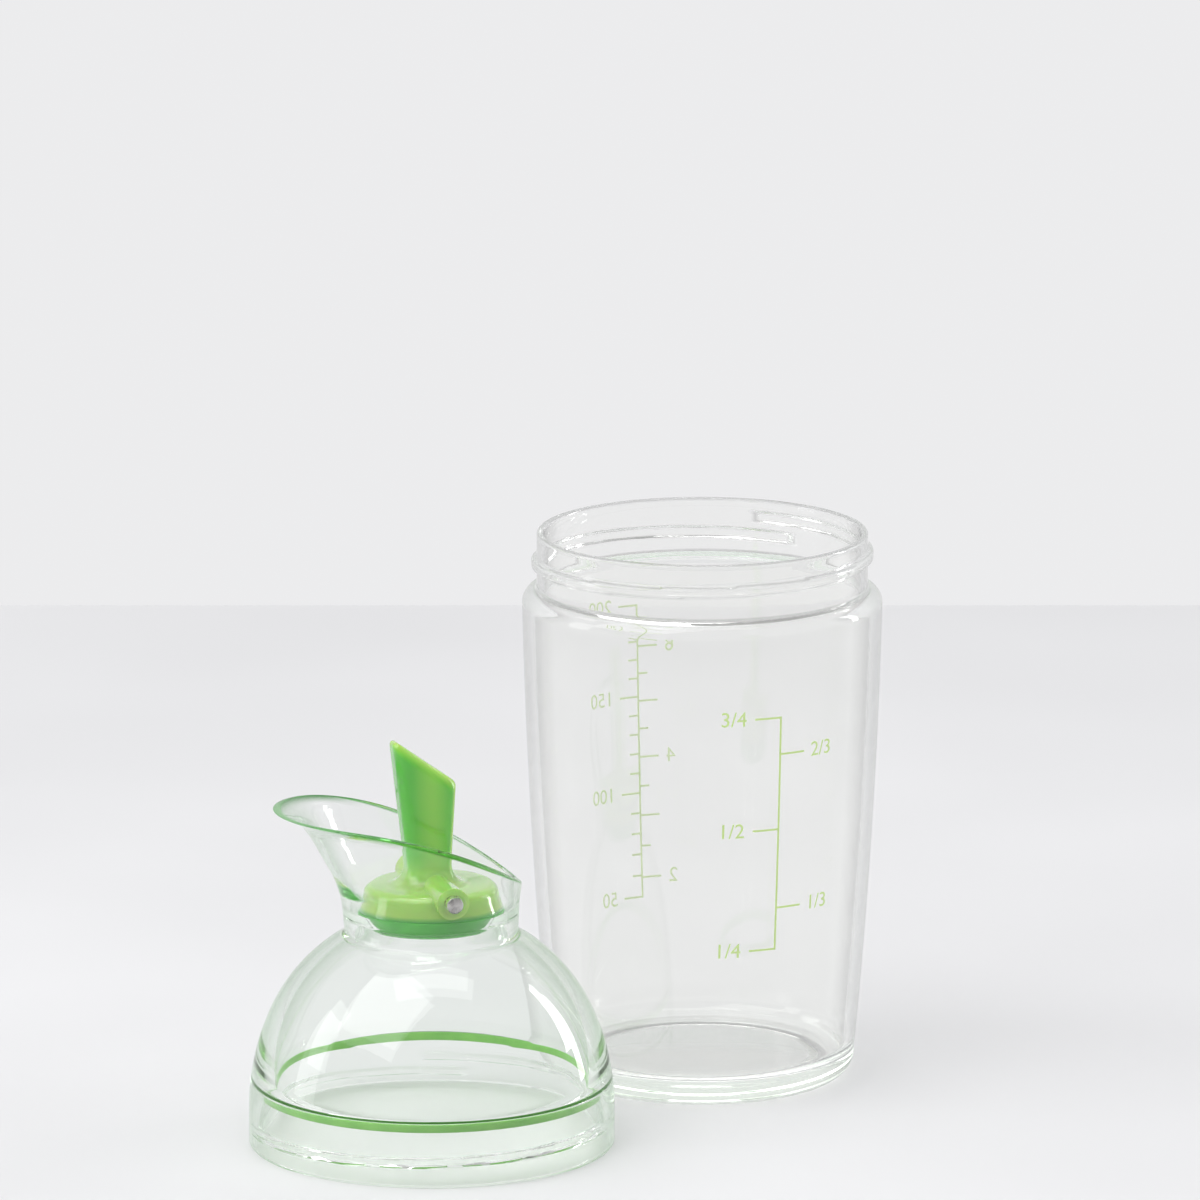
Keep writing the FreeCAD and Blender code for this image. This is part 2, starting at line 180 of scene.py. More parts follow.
def linear(red, green, blue):
    """A colour for a shader, from screen values of 0 to 255."""
    values = []
    for screen in (red / 255, green / 255, blue / 255):
        values.append(screen / 12.92 if screen <= 0.04045 else ((screen + 0.055) / 1.055) ** 2.4)
    return (*values, 1.0)


def dial(node, values):
    """Sets inputs of a node by their names, or by their numbers where they share a name."""
    for name, value in values.items():
        node.inputs[name].default_value = value


def add_node(tree, kind, values=None, **settings):
    """Adds a shader node to a tree, with the values of its inputs and its settings."""
    node = tree.nodes.new("ShaderNode" + kind)
    for name, setting in settings.items():
        setattr(node, name, setting)
    dial(node, values or {})
    return node


def link(tree, source, output, target, socket):
    """Links an output of one node to an input of another."""
    tree.links.new(source.outputs[output], target.inputs[socket])


def colour_ramp(tree, colours):
    """Adds a ramp with colours at places from 0 to 1."""
    ramp = add_node(tree, "ValToRGB")
    stops = ramp.color_ramp.elements
    first, *between, last = colours
    for number, (place, colour) in enumerate((first, last)):
        stops[number].position = place
        stops[number].color = colour
    for place, colour in between:
        stops.new(place).color = colour
    return ramp


def colour_mix(tree):
    """Adds a mix of two colours, and finds its two colour inputs and its colour output."""
    mix = add_node(tree, "Mix", data_type="RGBA")
    first, second = [socket for socket in mix.inputs if socket.type == "RGBA"]
    mixed = next(socket for socket in mix.outputs if socket.type == "RGBA")
    return mix, first, second, mixed


def new_material(name, noise_scale):
    """A material with its Principled shader, and noise over the piece's own coordinates."""
    material = bpy.data.materials.new(name)
    material.use_nodes = True
    tree = material.node_tree
    coordinates = add_node(tree, "TexCoord")
    noise = add_node(tree, "TexNoise", {"Scale": noise_scale})
    link(tree, coordinates, "Object", noise, "Vector")
    return material, tree, tree.nodes["Principled BSDF"], coordinates, noise


def noise_to(tree, noise, low, high, socket):
    """Drives a shader's number from a noise, between a low and a high value."""
    spread = add_node(tree, "MapRange", {
        "From Min": NOISE_LOW, "From Max": NOISE_HIGH, "To Min": low, "To Max": high,
    })
    link(tree, noise, "Fac", spread, "Value")
    tree.links.new(spread.outputs["Result"], socket)


def noise_colour(tree, noise, first, second, socket):
    """Drives a shader's colour from a noise, between two colours."""
    ramp = colour_ramp(tree, [(NOISE_LOW, first), (NOISE_HIGH, second)])
    link(tree, noise, "Fac", ramp, "Fac")
    tree.links.new(ramp.outputs["Color"], socket)


def let_lamps_through(tree, shader, share, most_bends):
    """Lets a share of the lamps' light pass straight through, and all light after many bends."""
    rays = add_node(tree, "LightPath")
    long_way = add_node(tree, "Math", {1: most_bends + 0.5}, operation="GREATER_THAN")
    straight_share = add_node(tree, "Math", {1: share}, operation="MULTIPLY_ADD", use_clamp=True)
    straight = add_node(tree, "BsdfTransparent")
    mixed = add_node(tree, "MixShader")
    link(tree, rays, "Ray Depth", long_way, 0)
    link(tree, rays, "Is Shadow Ray", straight_share, 0)
    link(tree, long_way, "Value", straight_share, 2)
    link(tree, straight_share, "Value", mixed, "Fac")
    link(tree, shader, "BSDF", mixed, 1)
    link(tree, straight, "BSDF", mixed, 2)
    link(tree, mixed, "Shader", tree.nodes["Material Output"], "Surface")


print("noise is read from", NOISE_LOW, "to", NOISE_HIGH)

# %% [markdown]
# ## Clear plastic
#
# Jar and lid are clear mouldings. A Principled shader that lets all light through and bends it
# does most of the work. A fine noise moves its roughness a little, and a slow one tips its surface,
# as in a real moulding.
#
# Thick edges of a clear piece look darker, the lid's green and the jar's grey. An absorbing inside
# gives some of that by itself, but thin walls hold too little of it, and most of the darkening is
# light that the walls bend and reflect away. So a painted shade is added to the colour where the
# surface is seen at a grazing angle, and where the mesh marks an edge with an attribute.

# %% Clear plastic
PLASTIC_IOR = 1.45
CLEAR_ROUGH = (0.012, 0.03)
FINE_NOISE = 420
SLOW_NOISE = 55
WAVE_HEIGHT = 1.0
GRAZING_SPAN = 0.35
GRAZING_MOST = 0.6
INSIDE_GREEN = (0.30, 0.87, 0.25, 1)
CLEAR_LAMP_SHARE = 0.85
CLEAR_BENDS = 4


def clear_plastic(name, tint, painted_edge_shade, grazing_from, wave, depth):
    """Clear plastic with a faint tint, a painted shade at its edges and a green inside.

    The painted edge shade starts at grazing_from, on a scale from 0 for a face seen straight on to 1,
    and it is full where the attribute named edge is 1. The wave tips the surface, and depth is how
    strongly the inside absorbs.
    """
    material, tree, shader, coordinates, noise = new_material(name, FINE_NOISE)
    # Painted shade: the facing of the surface and the edge attribute darken the colour at the edges.
    edge = add_node(tree, "Attribute", attribute_name="edge")
    facing = add_node(tree, "LayerWeight", {"Blend": 0.5})
    grazing = add_node(tree, "MapRange", {
        "From Min": grazing_from, "From Max": grazing_from + GRAZING_SPAN, "To Max": GRAZING_MOST,
    })
    stronger = add_node(tree, "Math", operation="MAXIMUM")
    painted_shade_ramp = colour_ramp(tree, [(0, tint), (1, painted_edge_shade)])
    link(tree, facing, "Facing", grazing, "Value")
    link(tree, edge, "Fac", stronger, 0)
    link(tree, grazing, "Result", stronger, 1)
    link(tree, stronger, "Value", painted_shade_ramp, "Fac")
    link(tree, painted_shade_ramp, "Color", shader, "Base Color")
    inside = add_node(tree, "VolumeAbsorption", {"Color": INSIDE_GREEN, "Density": depth})
    link(tree, inside, "Volume", tree.nodes["Material Output"], "Volume")
    dial(shader, {"Transmission Weight": 1.0, "IOR": PLASTIC_IOR})
    noise_to(tree, noise, *CLEAR_ROUGH, shader.inputs["Roughness"])
    slow = add_node(tree, "TexNoise", {"Scale": SLOW_NOISE, "Detail": 0})
    bump = add_node(tree, "Bump", {"Strength": wave, "Distance": WAVE_HEIGHT * MM})
    link(tree, coordinates, "Object", slow, "Vector")
    link(tree, slow, "Fac", bump, "Height")
    link(tree, bump, "Normal", shader, "Normal")
    let_lamps_through(tree, shader, CLEAR_LAMP_SHARE, CLEAR_BENDS)
    return material


# Painted edge shade: grey for the jar, green for the lid.
jar_plastic = clear_plastic(
    "jar_plastic", tint=linear(253, 253, 252), painted_edge_shade=linear(44, 41, 35),
    grazing_from=0.55, wave=0.05, depth=2,
)
lid_plastic = clear_plastic(
    "lid_plastic", tint=linear(253, 254, 253), painted_edge_shade=linear(56, 146, 50),
    grazing_from=0.48, wave=0.04, depth=6,
)
print("clear plastics bend light by an index of", PLASTIC_IOR)

# %% [markdown]
# ## Green plastic
#
# The lever is a translucent green moulding with a polished skin. Some light passes through it,
# most is scattered below the surface, and a thin coat gives the sharp highlights. In the real
# piece, light gathers in thin and raised places, which look paler. Tracing that would take very
# many rays, so that light is painted into the colour instead: by height, where the plug is painted
# paler than the blade, and by an attribute at the blade's edges.

# %% Green plastic
GREEN_ROUGH = (0.08, 0.14)
GREEN_NOISE = 160
GREEN_LAMP_SHARE = 0.4
GREEN_BENDS = 5


def green_plastic(name, colours, painted_light_colour):
    """Translucent plastic with colours at heights, some of them painted light, and a painted paler light at its
    edges.
    """
    material, tree, shader, coordinates, noise = new_material(name, GREEN_NOISE)
    noise_to(tree, noise, *GREEN_ROUGH, shader.inputs["Roughness"])
    low, high = colours[0][0], colours[-1][0]
    split = add_node(tree, "SeparateXYZ")
    level = add_node(tree, "MapRange", {"From Min": low * MM, "From Max": high * MM})
    ramp = colour_ramp(tree, [((height - low) / (high - low), colour) for height, colour in colours])
    # Painted light: the edge attribute mixes in the paler colour.
    edge = add_node(tree, "Attribute", attribute_name="edge")
    tone, plain, paler, mixed = colour_mix(tree)
    paler.default_value = painted_light_colour
    link(tree, coordinates, "Object", split, "Vector")
    link(tree, split, "Z", level, "Value")
    link(tree, level, "Result", ramp, "Fac")
    link(tree, edge, "Fac", tone, "Factor")
    tree.links.new(ramp.outputs["Color"], plain)
    tree.links.new(mixed, shader.inputs["Base Color"])
    dial(shader, {
        "Transmission Weight": 0.35, "IOR": 1.5, "Coat Weight": 0.7, "Coat Roughness": 0.03,
        "Subsurface Weight": 0.8, "Subsurface Radius": (0.5, 1.0, 0.25), "Subsurface Scale": 5 * MM,
    })
    let_lamps_through(tree, shader, GREEN_LAMP_SHARE, GREEN_BENDS)
    return material


# Greens by height: the plug's pale band, from 44.6 to 49 mm, is painted light, and the blade's green above it is
# its own colour; the plug is darker below that band.
LEVER_GREENS_AND_PAINTED_LIGHT = [
    (43.8, linear(70, 170, 66)), (44.6, linear(186, 224, 108)), (49.0, linear(176, 220, 100)),
    (54.0, linear(104, 200, 70)), (68.0, linear(96, 198, 68)),
]
lever_plastic = green_plastic("lever_plastic", LEVER_GREENS_AND_PAINTED_LIGHT, painted_light_colour=linear(190, 234, 98))
print("green plastic has", len(LEVER_GREENS_AND_PAINTED_LIGHT), "tones over its height")

# %% [markdown]
# ## Rubber, steel and print
#
# The small opaque pieces have plain finishes: satin rubber for the seals, bright steel for the
# pin and a flat ink for the scale. One function serves them all, with two close colours and a
# roughness from the same noise. The scale on the back is seen through two walls of plastic, and
# its ink is painted paler for that: a lighter copy of the front ink that stands in for the light
# which the two walls add.

# %% Rubber, steel and print
ROUGH_SPREAD = 0.2


def plain_finish(name, first, second, scale, rough, metal=0.0):
    """An opaque finish between two close colours, with its roughness from the same noise."""
    material, tree, shader, _, noise = new_material(name, scale)
    noise_colour(tree, noise, first, second, shader.inputs["Base Color"])
    low, high = rough * (1 - ROUGH_SPREAD), rough * (1 + ROUGH_SPREAD)
    noise_to(tree, noise, low, high, shader.inputs["Roughness"])
    shader.inputs["Metallic"].default_value = metal
    return material


seal_rubber = plain_finish(
    "seal_rubber", linear(54, 162, 42), linear(68, 176, 52), scale=300, rough=0.35,
)
gasket_rubber = plain_finish(
    "gasket_rubber", linear(120, 190, 84), linear(136, 202, 96), scale=300, rough=0.5,
)
pin_steel = plain_finish(
    "pin_steel", linear(150, 148, 146), linear(200, 198, 196), scale=900, rough=0.28, metal=1.0,
)
scale_print = plain_finish(
    "scale_print", linear(208, 236, 150), linear(216, 240, 162), scale=700, rough=0.5,
)
# Painted light: the back scale's ink is a paler copy of the front ink, for the two walls it is seen through.
back_print_painted_paler = plain_finish(
    "back_print_painted_paler", linear(224, 240, 190), linear(230, 244, 200), scale=700, rough=0.5,
)
print("made", len(bpy.data.materials), "materials, frame's own included")

# %% [markdown]
# ## Jar
#
# The real jar is one clear moulding: a tapered, slightly bowed barrel, a rounded shoulder and a
# straight open neck. A cylinder could be scaled ring by ring and given a thickness, but here the
# wall isn't even, so both of its faces are drawn. The profile runs from the middle of the
# pushed-up base out to the foot, up the barrel, round the shoulder, up the neck, over the lip and
# down the inside to the middle of the floor. Rows close to the roundings keep the shading of the
# long walls straight, because a shading that bends also bends what is seen through the wall.

# %% Jar
_, jar_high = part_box("jar")
JAR_HEIGHT = jar_high.z / MM
SHOULDER_RADIUS = jar_high.x / MM
NECK_RADIUS = mounts["jar_neck"]["dims"]["r_mm"]
NECK_BASE = 91.5
NECK_CORNER = 0.5
BASE_RISE = 1.0
BASE_RADIUS = 19.7
BASE_ROUND = 0.6
STAND_RADIUS = 21.8
STAND_BREAK = 0.4
FOOT_RADIUS = 28.2
FOOT_ROUND = 4.6
BARREL_TOP = 88.8
BARREL_BOW = 0.75
BARREL_ROW = 4
JAR_WALL = 2.2
JAR_FLOOR = 4.5
FLOOR_RADIUS = 14
FLOOR_ROUND = 3
FLOOR_BEND = 8
NECK_INNER = 29.0
NECK_INNER_ROUND = 0.7
NECK_INNER_ROW = 2
SHOULDER_INSIDE = 90.4
SHOULDER_INNER_ROUND = 0.8
LIP_ROUND = 0.6
ROW = 0.25
CLOSE_ROW = 0.2


def barrel(height):
    """The jar's outer radius at a height: a taper with a slight bow."""
    share = (height - FOOT_ROUND) / (BARREL_TOP - FOOT_ROUND)
    bow = 4 * BARREL_BOW * share * (1 - share)
    return FOOT_RADIUS + (SHOULDER_RADIUS - FOOT_RADIUS) * share + bow


outer_rows = [*ladder(FOOT_ROUND, BARREL_TOP - 2 * CLOSE_ROW, BARREL_ROW), BARREL_TOP]
neck_rows = ladder(NECK_BASE + 1.5 * NECK_CORNER, JAR_HEIGHT - LIP_ROUND, ROW)
neck_end = SHOULDER_INSIDE + NECK_INNER_ROUND + CLOSE_ROW
neck_bead = NECK_INNER - NECK_INNER_ROUND
inner_neck_rows = ladder(JAR_HEIGHT - NECK_INNER_ROW, neck_end, NECK_INNER_ROW)
inner_top = SHOULDER_INSIDE - SHOULDER_INNER_ROUND
inner_rows = [inner_top - CLOSE_ROW, *ladder(inner_top - 2.5 * CLOSE_ROW, FLOOR_BEND, BARREL_ROW)]
shoulder_inner = SHOULDER_RADIUS - JAR_WALL - SHOULDER_INNER_ROUND
floor_corner = barrel(FLOOR_BEND) - JAR_WALL - FLOOR_ROUND
jar_profile = [
    (0, BASE_RISE),
    *arc((BASE_RADIUS, BASE_RISE - BASE_ROUND), BASE_ROUND, 90, 30, 3),
    (STAND_RADIUS - STAND_BREAK, STAND_BREAK / 4),
    (STAND_RADIUS, 0),
    *arc((FOOT_RADIUS - FOOT_ROUND, FOOT_ROUND), FOOT_ROUND, -90, -3, 10),
    *[(barrel(height), height) for height in outer_rows],
    *arc((NECK_RADIUS, BARREL_TOP), SHOULDER_RADIUS - NECK_RADIUS, 8, 75, 8),
    *arc((NECK_RADIUS + NECK_CORNER, NECK_BASE + NECK_CORNER), NECK_CORNER, 260, 180, 4),
    *[(NECK_RADIUS, height) for height in neck_rows],
    *arc((NECK_RADIUS - LIP_ROUND, JAR_HEIGHT - LIP_ROUND), LIP_ROUND, 10, 90, 5),
    *arc((NECK_INNER + LIP_ROUND, JAR_HEIGHT - LIP_ROUND), LIP_ROUND, 90, 180, 6),
    *[(NECK_INNER, height) for height in inner_neck_rows],
    *arc((neck_bead, SHOULDER_INSIDE + NECK_INNER_ROUND), NECK_INNER_ROUND, -8, -50, 3),
    *arc((shoulder_inner, inner_top), SHOULDER_INNER_ROUND, 80, 4, 5),
    *[(barrel(height) - JAR_WALL, height) for height in inner_rows],
    *arc((floor_corner, JAR_FLOOR + FLOOR_ROUND), FLOOR_ROUND, -6, -90, 6),
    (FLOOR_RADIUS, JAR_FLOOR),
    (0, JAR_FLOOR),
]
jar_mesh = spun(jar_profile)
print("jar's profile has", len(jar_profile), "points")

# %% [markdown]
# ## Thread and painted shade lines of the neck
#
# One right-handed thread runs a little more than once round the neck and fades out at both ends.
# A helix could be swept and joined to the neck, but a join leaves ragged edges, which clear
# plastic shows. So the wall itself is raised: the neck has a row every quarter of a millimetre,
# and each of its points moves out by its nearness to the thread's path.
#
# The lip, the thread and the corner under the neck show as fine grey lines in the clear plastic,
# where their roundings bend the light. These lines are painted shade: the attribute named `edge`
# marks their points, and the plastic takes its painted edge shade there.

# %% Thread and painted shade lines of the neck
ON_WALL = 0.01
THREAD_FADE = 5
PAINTED_LINE_SHADE = 0.45
FLANK_LOW, FLANK_HIGH = 0.2, 0.8
CORNER_LOW, CORNER_HIGH = -0.2, 0.6


def raise_thread(made, base, proud, start, end, low, high, half_width, flank):
    """Moves the points of a straight wall out along a thread's path, or in if proud is negative."""
    for point in made.verts:
        radius = math.hypot(point.co.x, point.co.y) / MM
        if abs(radius - base) > ON_WALL:
            continue
        angle = math.degrees(math.atan2(point.co.y, point.co.x)) % 360
        rise = 0.0
        for turned in (angle, angle + 360):
            level = low + (high - low) * (turned - start) / (end - start)
            across = ease((half_width - abs(point.co.z / MM - level)) / flank)
            along = ease(min(turned - start, end - turned) / THREAD_FADE)
            rise = max(rise, across * along)
        grow = (radius + proud * rise) / radius
        point.co.x *= grow
        point.co.y *= grow


raise_thread(
    jar_mesh, base=NECK_RADIUS, proud=1.0, start=54.0, end=433, low=95.0, high=98.6,
    half_width=1.2, flank=0.6,
)
# Painted shade: grey lines at the lip, the thread's flanks and the corner under the neck.
edge = jar_mesh.verts.layers.float.new("edge")
for point in jar_mesh.verts:
    radius, height = math.hypot(point.co.x, point.co.y) / MM, point.co.z / MM
    outside = radius > (NECK_INNER + NECK_RADIUS) / 2
    on_lip = height > JAR_HEIGHT - LIP_ROUND / 2
    on_thread = NECK_RADIUS + FLANK_LOW < radius < NECK_RADIUS + FLANK_HIGH
    on_flank = on_thread and height > NECK_BASE + 2 * NECK_CORNER
    in_corner = outside and NECK_BASE + CORNER_LOW < height < NECK_BASE + CORNER_HIGH
    point[edge] = PAINTED_LINE_SHADE if on_lip or on_flank or in_corner else 0.0
piece("jar_shell", jar_mesh, jar_plastic, "jar", "jar")

# %% [markdown]
# ## Tools for the scale
#
# The jar carries a printed scale for measuring. It could be painted in a material, but letters
# with a mesh of their own stay sharp from close by. Bars and letters are first drawn flat, as on a
# sheet of paper, then given the thickness of print and wrapped round the barrel. The marks stand at
# true heights: `fill_height` adds up thin slices of the jar's inside until a volume is reached.

# %% Tools for the scale
SLICE = 0.05
LETTER = 2.7
CAPITAL_SHARE = 0.7
LABEL_GAP = 1.5
BAR = 0.36
PRINT = 0.05
PRINT_PROUD = 0.35
SHEET_TOUCHING = 1e-4


def fill_height(volume):
    """How high a volume in millilitres fills the jar."""
    height = JAR_FLOOR
    filled = 0.0
    while filled < volume * 1000:
        filled += math.pi * (barrel(height) - JAR_WALL) ** 2 * SLICE
        height += SLICE
    return height


def add_bar(sheet, left, right, low, high):
    """Adds a bar to a flat sheet, in cells about one millimetre wide and two tall."""
    across = max(1, round(right - left))
    up = max(1, round((high - low) / 2))
    place = Matrix.Translation(((left + right) / 2, (low + high) / 2, 0))
    stretch = Matrix.Diagonal((right - left, high - low, 1, 1))
    bmesh.ops.create_grid(sheet, x_segments=across, y_segments=up, size=0.5, matrix=place @ stretch)


def add_line(sheet, least, most):
    """Adds the upright line of a scale, from the least volume to the most."""
    low, high = fill_height(least) - BAR / 2, fill_height(most) + BAR / 2
    add_bar(sheet, -BAR / 2, BAR / 2, low, high)


def add_letters(sheet, text, x, y, side):
    """Adds letters to a flat sheet, which end at x or start there."""
    curve = bpy.data.curves.new("letters", "FONT")
    curve.body = text
    curve.size = LETTER / CAPITAL_SHARE
    curve.align_x = side
    curve.align_y = "CENTER"
    holder = bpy.data.objects.new("letters", curve)
    mesh = bpy.data.meshes.new_from_object(holder)
    mesh.transform(Matrix.Translation((x, y, 0)))
    sheet.from_mesh(mesh)
    bpy.data.objects.remove(holder)
    bpy.data.curves.remove(curve)
    bpy.data.meshes.remove(mesh)


def add_tick(sheet, volume, length, label=""):
    """Adds a tick to the right of the line, or to its left if the length is negative."""
    height = fill_height(volume)
    add_bar(sheet, min(0, length), max(0, length), height - BAR / 2, height + BAR / 2)
    if label:
        gap = math.copysign(LABEL_GAP, length)
        add_letters(sheet, label, length + gap, height, "LEFT" if length > 0 else "RIGHT")


def wrap(sheet, azimuth):
    """Thickens a flat sheet and wraps it round the barrel."""
    bmesh.ops.remove_doubles(sheet, verts=sheet.verts, dist=SHEET_TOUCHING)
    bmesh.ops.solidify(sheet, geom=sheet.faces[:], thickness=PRINT)
    bmesh.ops.recalc_face_normals(sheet, faces=sheet.faces)
    depths = [point.co.z for point in sheet.verts]
    middle = (min(depths) + max(depths)) / 2
    for point in sheet.verts:
        across, height, depth = point.co
        radius = barrel(height) + PRINT * PRINT_PROUD + depth - middle
        angle = math.radians(azimuth) + across / radius
        point.co = Vector((radius * math.cos(angle), radius * math.sin(angle), height)) * MM
    return sheet


print("200 ml fill the jar to", round(fill_height(200), 1), "mm")

# %% [markdown]
# ## Scale on the jar
#
# Cups are marked on the front, and millilitres and fluid ounces share one line on the back, where
# they are read from the other side. Each mark could be placed by eye, but loops place them by
# volume, so that they follow the jar's inside when a size changes. The two scales have inks of
# their own and are two pieces.

# %% Scale on the jar
CUP = 236.6
OUNCE = 29.57
OUNCE_HALVES = range(4, 14)
METRIC_LEAST = 50
METRIC_MOST = 200
METRIC_STEP = 10
METRIC_LABEL = 50
CUP_TICK = 5
LONG_TICK = 4
SHORT_TICK = 2
CUP_AZIMUTH = 295.4
METRIC_AZIMUTH = 112.2

cup_sheet = bmesh.new()
add_line(cup_sheet, CUP / 4, CUP * 3 / 4)
for share, label, way in (
    (1 / 4, "1/4", -1), (1 / 3, "1/3", 1), (1 / 2, "1/2", -1), (2 / 3, "2/3", 1), (3 / 4, "3/4", -1),
):
    add_tick(cup_sheet, CUP * share, way * CUP_TICK, label)
piece("cup_scale", wrap(cup_sheet, CUP_AZIMUTH), scale_print, "jar")

metric_sheet = bmesh.new()
add_line(metric_sheet, METRIC_LEAST, METRIC_MOST)
for volume in range(METRIC_LEAST, METRIC_MOST + 1, METRIC_STEP):
    whole = volume % METRIC_LABEL == 0
    add_tick(metric_sheet, volume, LONG_TICK if whole else SHORT_TICK, str(volume) if whole else "")
for halves in OUNCE_HALVES:
    whole = halves % 2 == 0
    label = str(halves // 2) if halves % 4 == 0 else ""
    add_tick(metric_sheet, halves / 2 * OUNCE, -LONG_TICK if whole else -SHORT_TICK, label)
piece("metric_scale", wrap(metric_sheet, METRIC_AZIMUTH), back_print_painted_paler, "jar")

# %% [markdown]
# ## Lid: the round part
#
# The real lid is one clear moulding: a skirt that screws onto the jar, a dome, a waist with a seat
# for the stopper, and a flared spout. It is drawn about its own axis with its spout towards -X,
# and `LID` then sets it where the record says that it stands. Up to the waist it is round, so two
# profiles are enough here, the outside going up and the inside going down. Where two arcs meet,
# the point and the middle are worked out, so that they still meet when a size changes.

# %% Lid: the round part
lever_axis = joints["lever_tilt"]["axis"]
LID_TURN = math.atan2(lever_axis[1], lever_axis[0]) - math.pi / 2
LID = Matrix.Translation(mounts["lid_skirt"]["pos_m"]) @ Matrix.Rotation(LID_TURN, 4, "Z")
SKIRT_RADIUS = SHOULDER_RADIUS
SKIRT_TOP = 6.2
SKIRT_BORE = 31.4
SKIRT_ROUND = 0.64
LEDGE = 11.4
LEDGE_RADIUS = 28.9
DOME_RADIUS = 32.0
DOME_CENTRE = 10.9
INNER_DOME = 30.4
WAIST_RADIUS = 15.65
WAIST_ROUND = 1.8
WAIST = DOME_CENTRE + math.sqrt(DOME_RADIUS ** 2 - WAIST_RADIUS ** 2)
SEAT_RADIUS = 13.5
SEAT_TOP = WAIST + 3.05
THROAT_RADIUS = 14.85
THROAT_LOW = WAIST + 5.25
BREAK_ROW = 0.2
BREAK_DOWN = 0.15
BREAK_IN = 0.08


def arc_centre(first, last, radius):
    """The middle of an arc between two points of a profile, to the left of the way there."""
    half = (Vector(last) - Vector(first)) / 2
    reach = math.sqrt(radius ** 2 - half.length_squared) / half.length
    return Vector(first) + half + Vector((-half.y, half.x)) * reach


dome_rise = DOME_CENTRE - SKIRT_TOP
dome_step = SKIRT_RADIUS - DOME_RADIUS
flank_radius = (SKIRT_RADIUS ** 2 + dome_rise ** 2 - DOME_RADIUS ** 2) / (2 * dome_step)
flank_end = math.degrees(math.atan2(dome_rise, flank_radius - SKIRT_RADIUS))
crease_angle = math.degrees(math.acos((WAIST_RADIUS + WAIST_ROUND) / (DOME_RADIUS + WAIST_ROUND)))
crease_height = DOME_CENTRE + (DOME_RADIUS + WAIST_ROUND) * math.sin(math.radians(crease_angle))
lid_outside = [
    *arc((SKIRT_RADIUS - SKIRT_ROUND, SKIRT_ROUND), SKIRT_ROUND, -90, 0, 5),
    *arc((SKIRT_RADIUS - flank_radius, SKIRT_TOP), flank_radius, 0, flank_end, 12),
    *arc((0, DOME_CENTRE), DOME_RADIUS, flank_end + 1, crease_angle, 20),
    *arc((WAIST_RADIUS + WAIST_ROUND, crease_height), WAIST_ROUND, crease_angle + 180, 180, 7),
]
seat_low = DOME_CENTRE + math.sqrt(INNER_DOME ** 2 - SEAT_RADIUS ** 2)
inner_centre = arc_centre((LEDGE_RADIUS, LEDGE), (SEAT_RADIUS, seat_low), INNER_DOME)
seat_angle = math.degrees(math.atan2(seat_low - inner_centre.y, SEAT_RADIUS - inner_centre.x))
ledge_angle = math.degrees(math.atan2(LEDGE - inner_centre.y, LEDGE_RADIUS - inner_centre.x))
lid_inside = [
    (THROAT_RADIUS, THROAT_LOW + BREAK_ROW),
    (THROAT_RADIUS - BREAK_IN, THROAT_LOW - BREAK_DOWN),
    (SEAT_RADIUS + BREAK_IN, SEAT_TOP + BREAK_DOWN),
    (SEAT_RADIUS, SEAT_TOP - BREAK_ROW),
    (SEAT_RADIUS, seat_low + BREAK_ROW),
    *arc(inner_centre, INNER_DOME, seat_angle - 0.4, ledge_angle + 0.6, 28),
    (LEDGE_RADIUS + BREAK_DOWN, LEDGE),
    (SKIRT_BORE - BREAK_ROW, LEDGE),
    *[(SKIRT_BORE, height) for height in ladder(LEDGE - BREAK_ROW, SKIRT_ROUND, ROW)],
    *arc((SKIRT_BORE + SKIRT_ROUND, SKIRT_ROUND), SKIRT_ROUND, 200, 270, 4),
]
print("lid's waist is", round(WAIST, 1), "mm above the table")

# %% [markdown]
# ## Lid: the spout
#
# The spout leans out to the front much further than to the rear, and its rim is one sweep when it
# is seen from the side. A cone could be pulled out of shape with a lattice, but then no number
# would say how far the tip reaches. Here its sections are ovals at stations, each with its own
# reach to the front, the rear and the sides, and heights are counted from the waist. `section_at`
# joins them by a smooth curve, and `rim_height` finds where a side meets the rim's arc by halving
# the way again and again.

# %% Lid: the spout
TIP_HEIGHT = 23.6
TIP_OVERHANG = 13.15
REAR_HEIGHT = 8.65
REAR_OVERHANG = 0.75
RIM_SWEEP = 72.0
RIM_HALVINGS = 40
SPOUT_WALL = 1.3
THROAT_TOP = 7.55

# shares of the tip's height, and of its overhang to the front, the rear and, taken off, the sides
SPOUT_SHARES = (
    (0.25, 0.04, 0.02, 0.01), (0.42, 0.13, 0.06, 0.03), (0.615, 0.32, 0.09, 0.08),
    (0.8, 0.51, 0.11, 0.12), (0.935, 0.73, 0.15, 0.12), (1.03, 1.14, 0.18, 0.12),
)
OUTER_STATIONS = [(0.0, WAIST_RADIUS, WAIST_RADIUS, WAIST_RADIUS)]
for share, front, rear, side_in in SPOUT_SHARES:
    side = (front + rear) / 2 - side_in
    reaches = [WAIST_RADIUS + TIP_OVERHANG * part for part in (front, rear, side)]
    OUTER_STATIONS.append((TIP_HEIGHT * share, *reaches))
INNER_STATIONS = [(THROAT_TOP, THROAT_RADIUS, THROAT_RADIUS, THROAT_RADIUS)]
for height, *reaches in OUTER_STATIONS[3:]:
    INNER_STATIONS.append((height, *[reach - SPOUT_WALL for reach in reaches]))
RIM_CENTRE = arc_centre(
    (WAIST_RADIUS + REAR_OVERHANG, REAR_HEIGHT), (-WAIST_RADIUS - TIP_OVERHANG, TIP_HEIGHT), RIM_SWEEP,
)


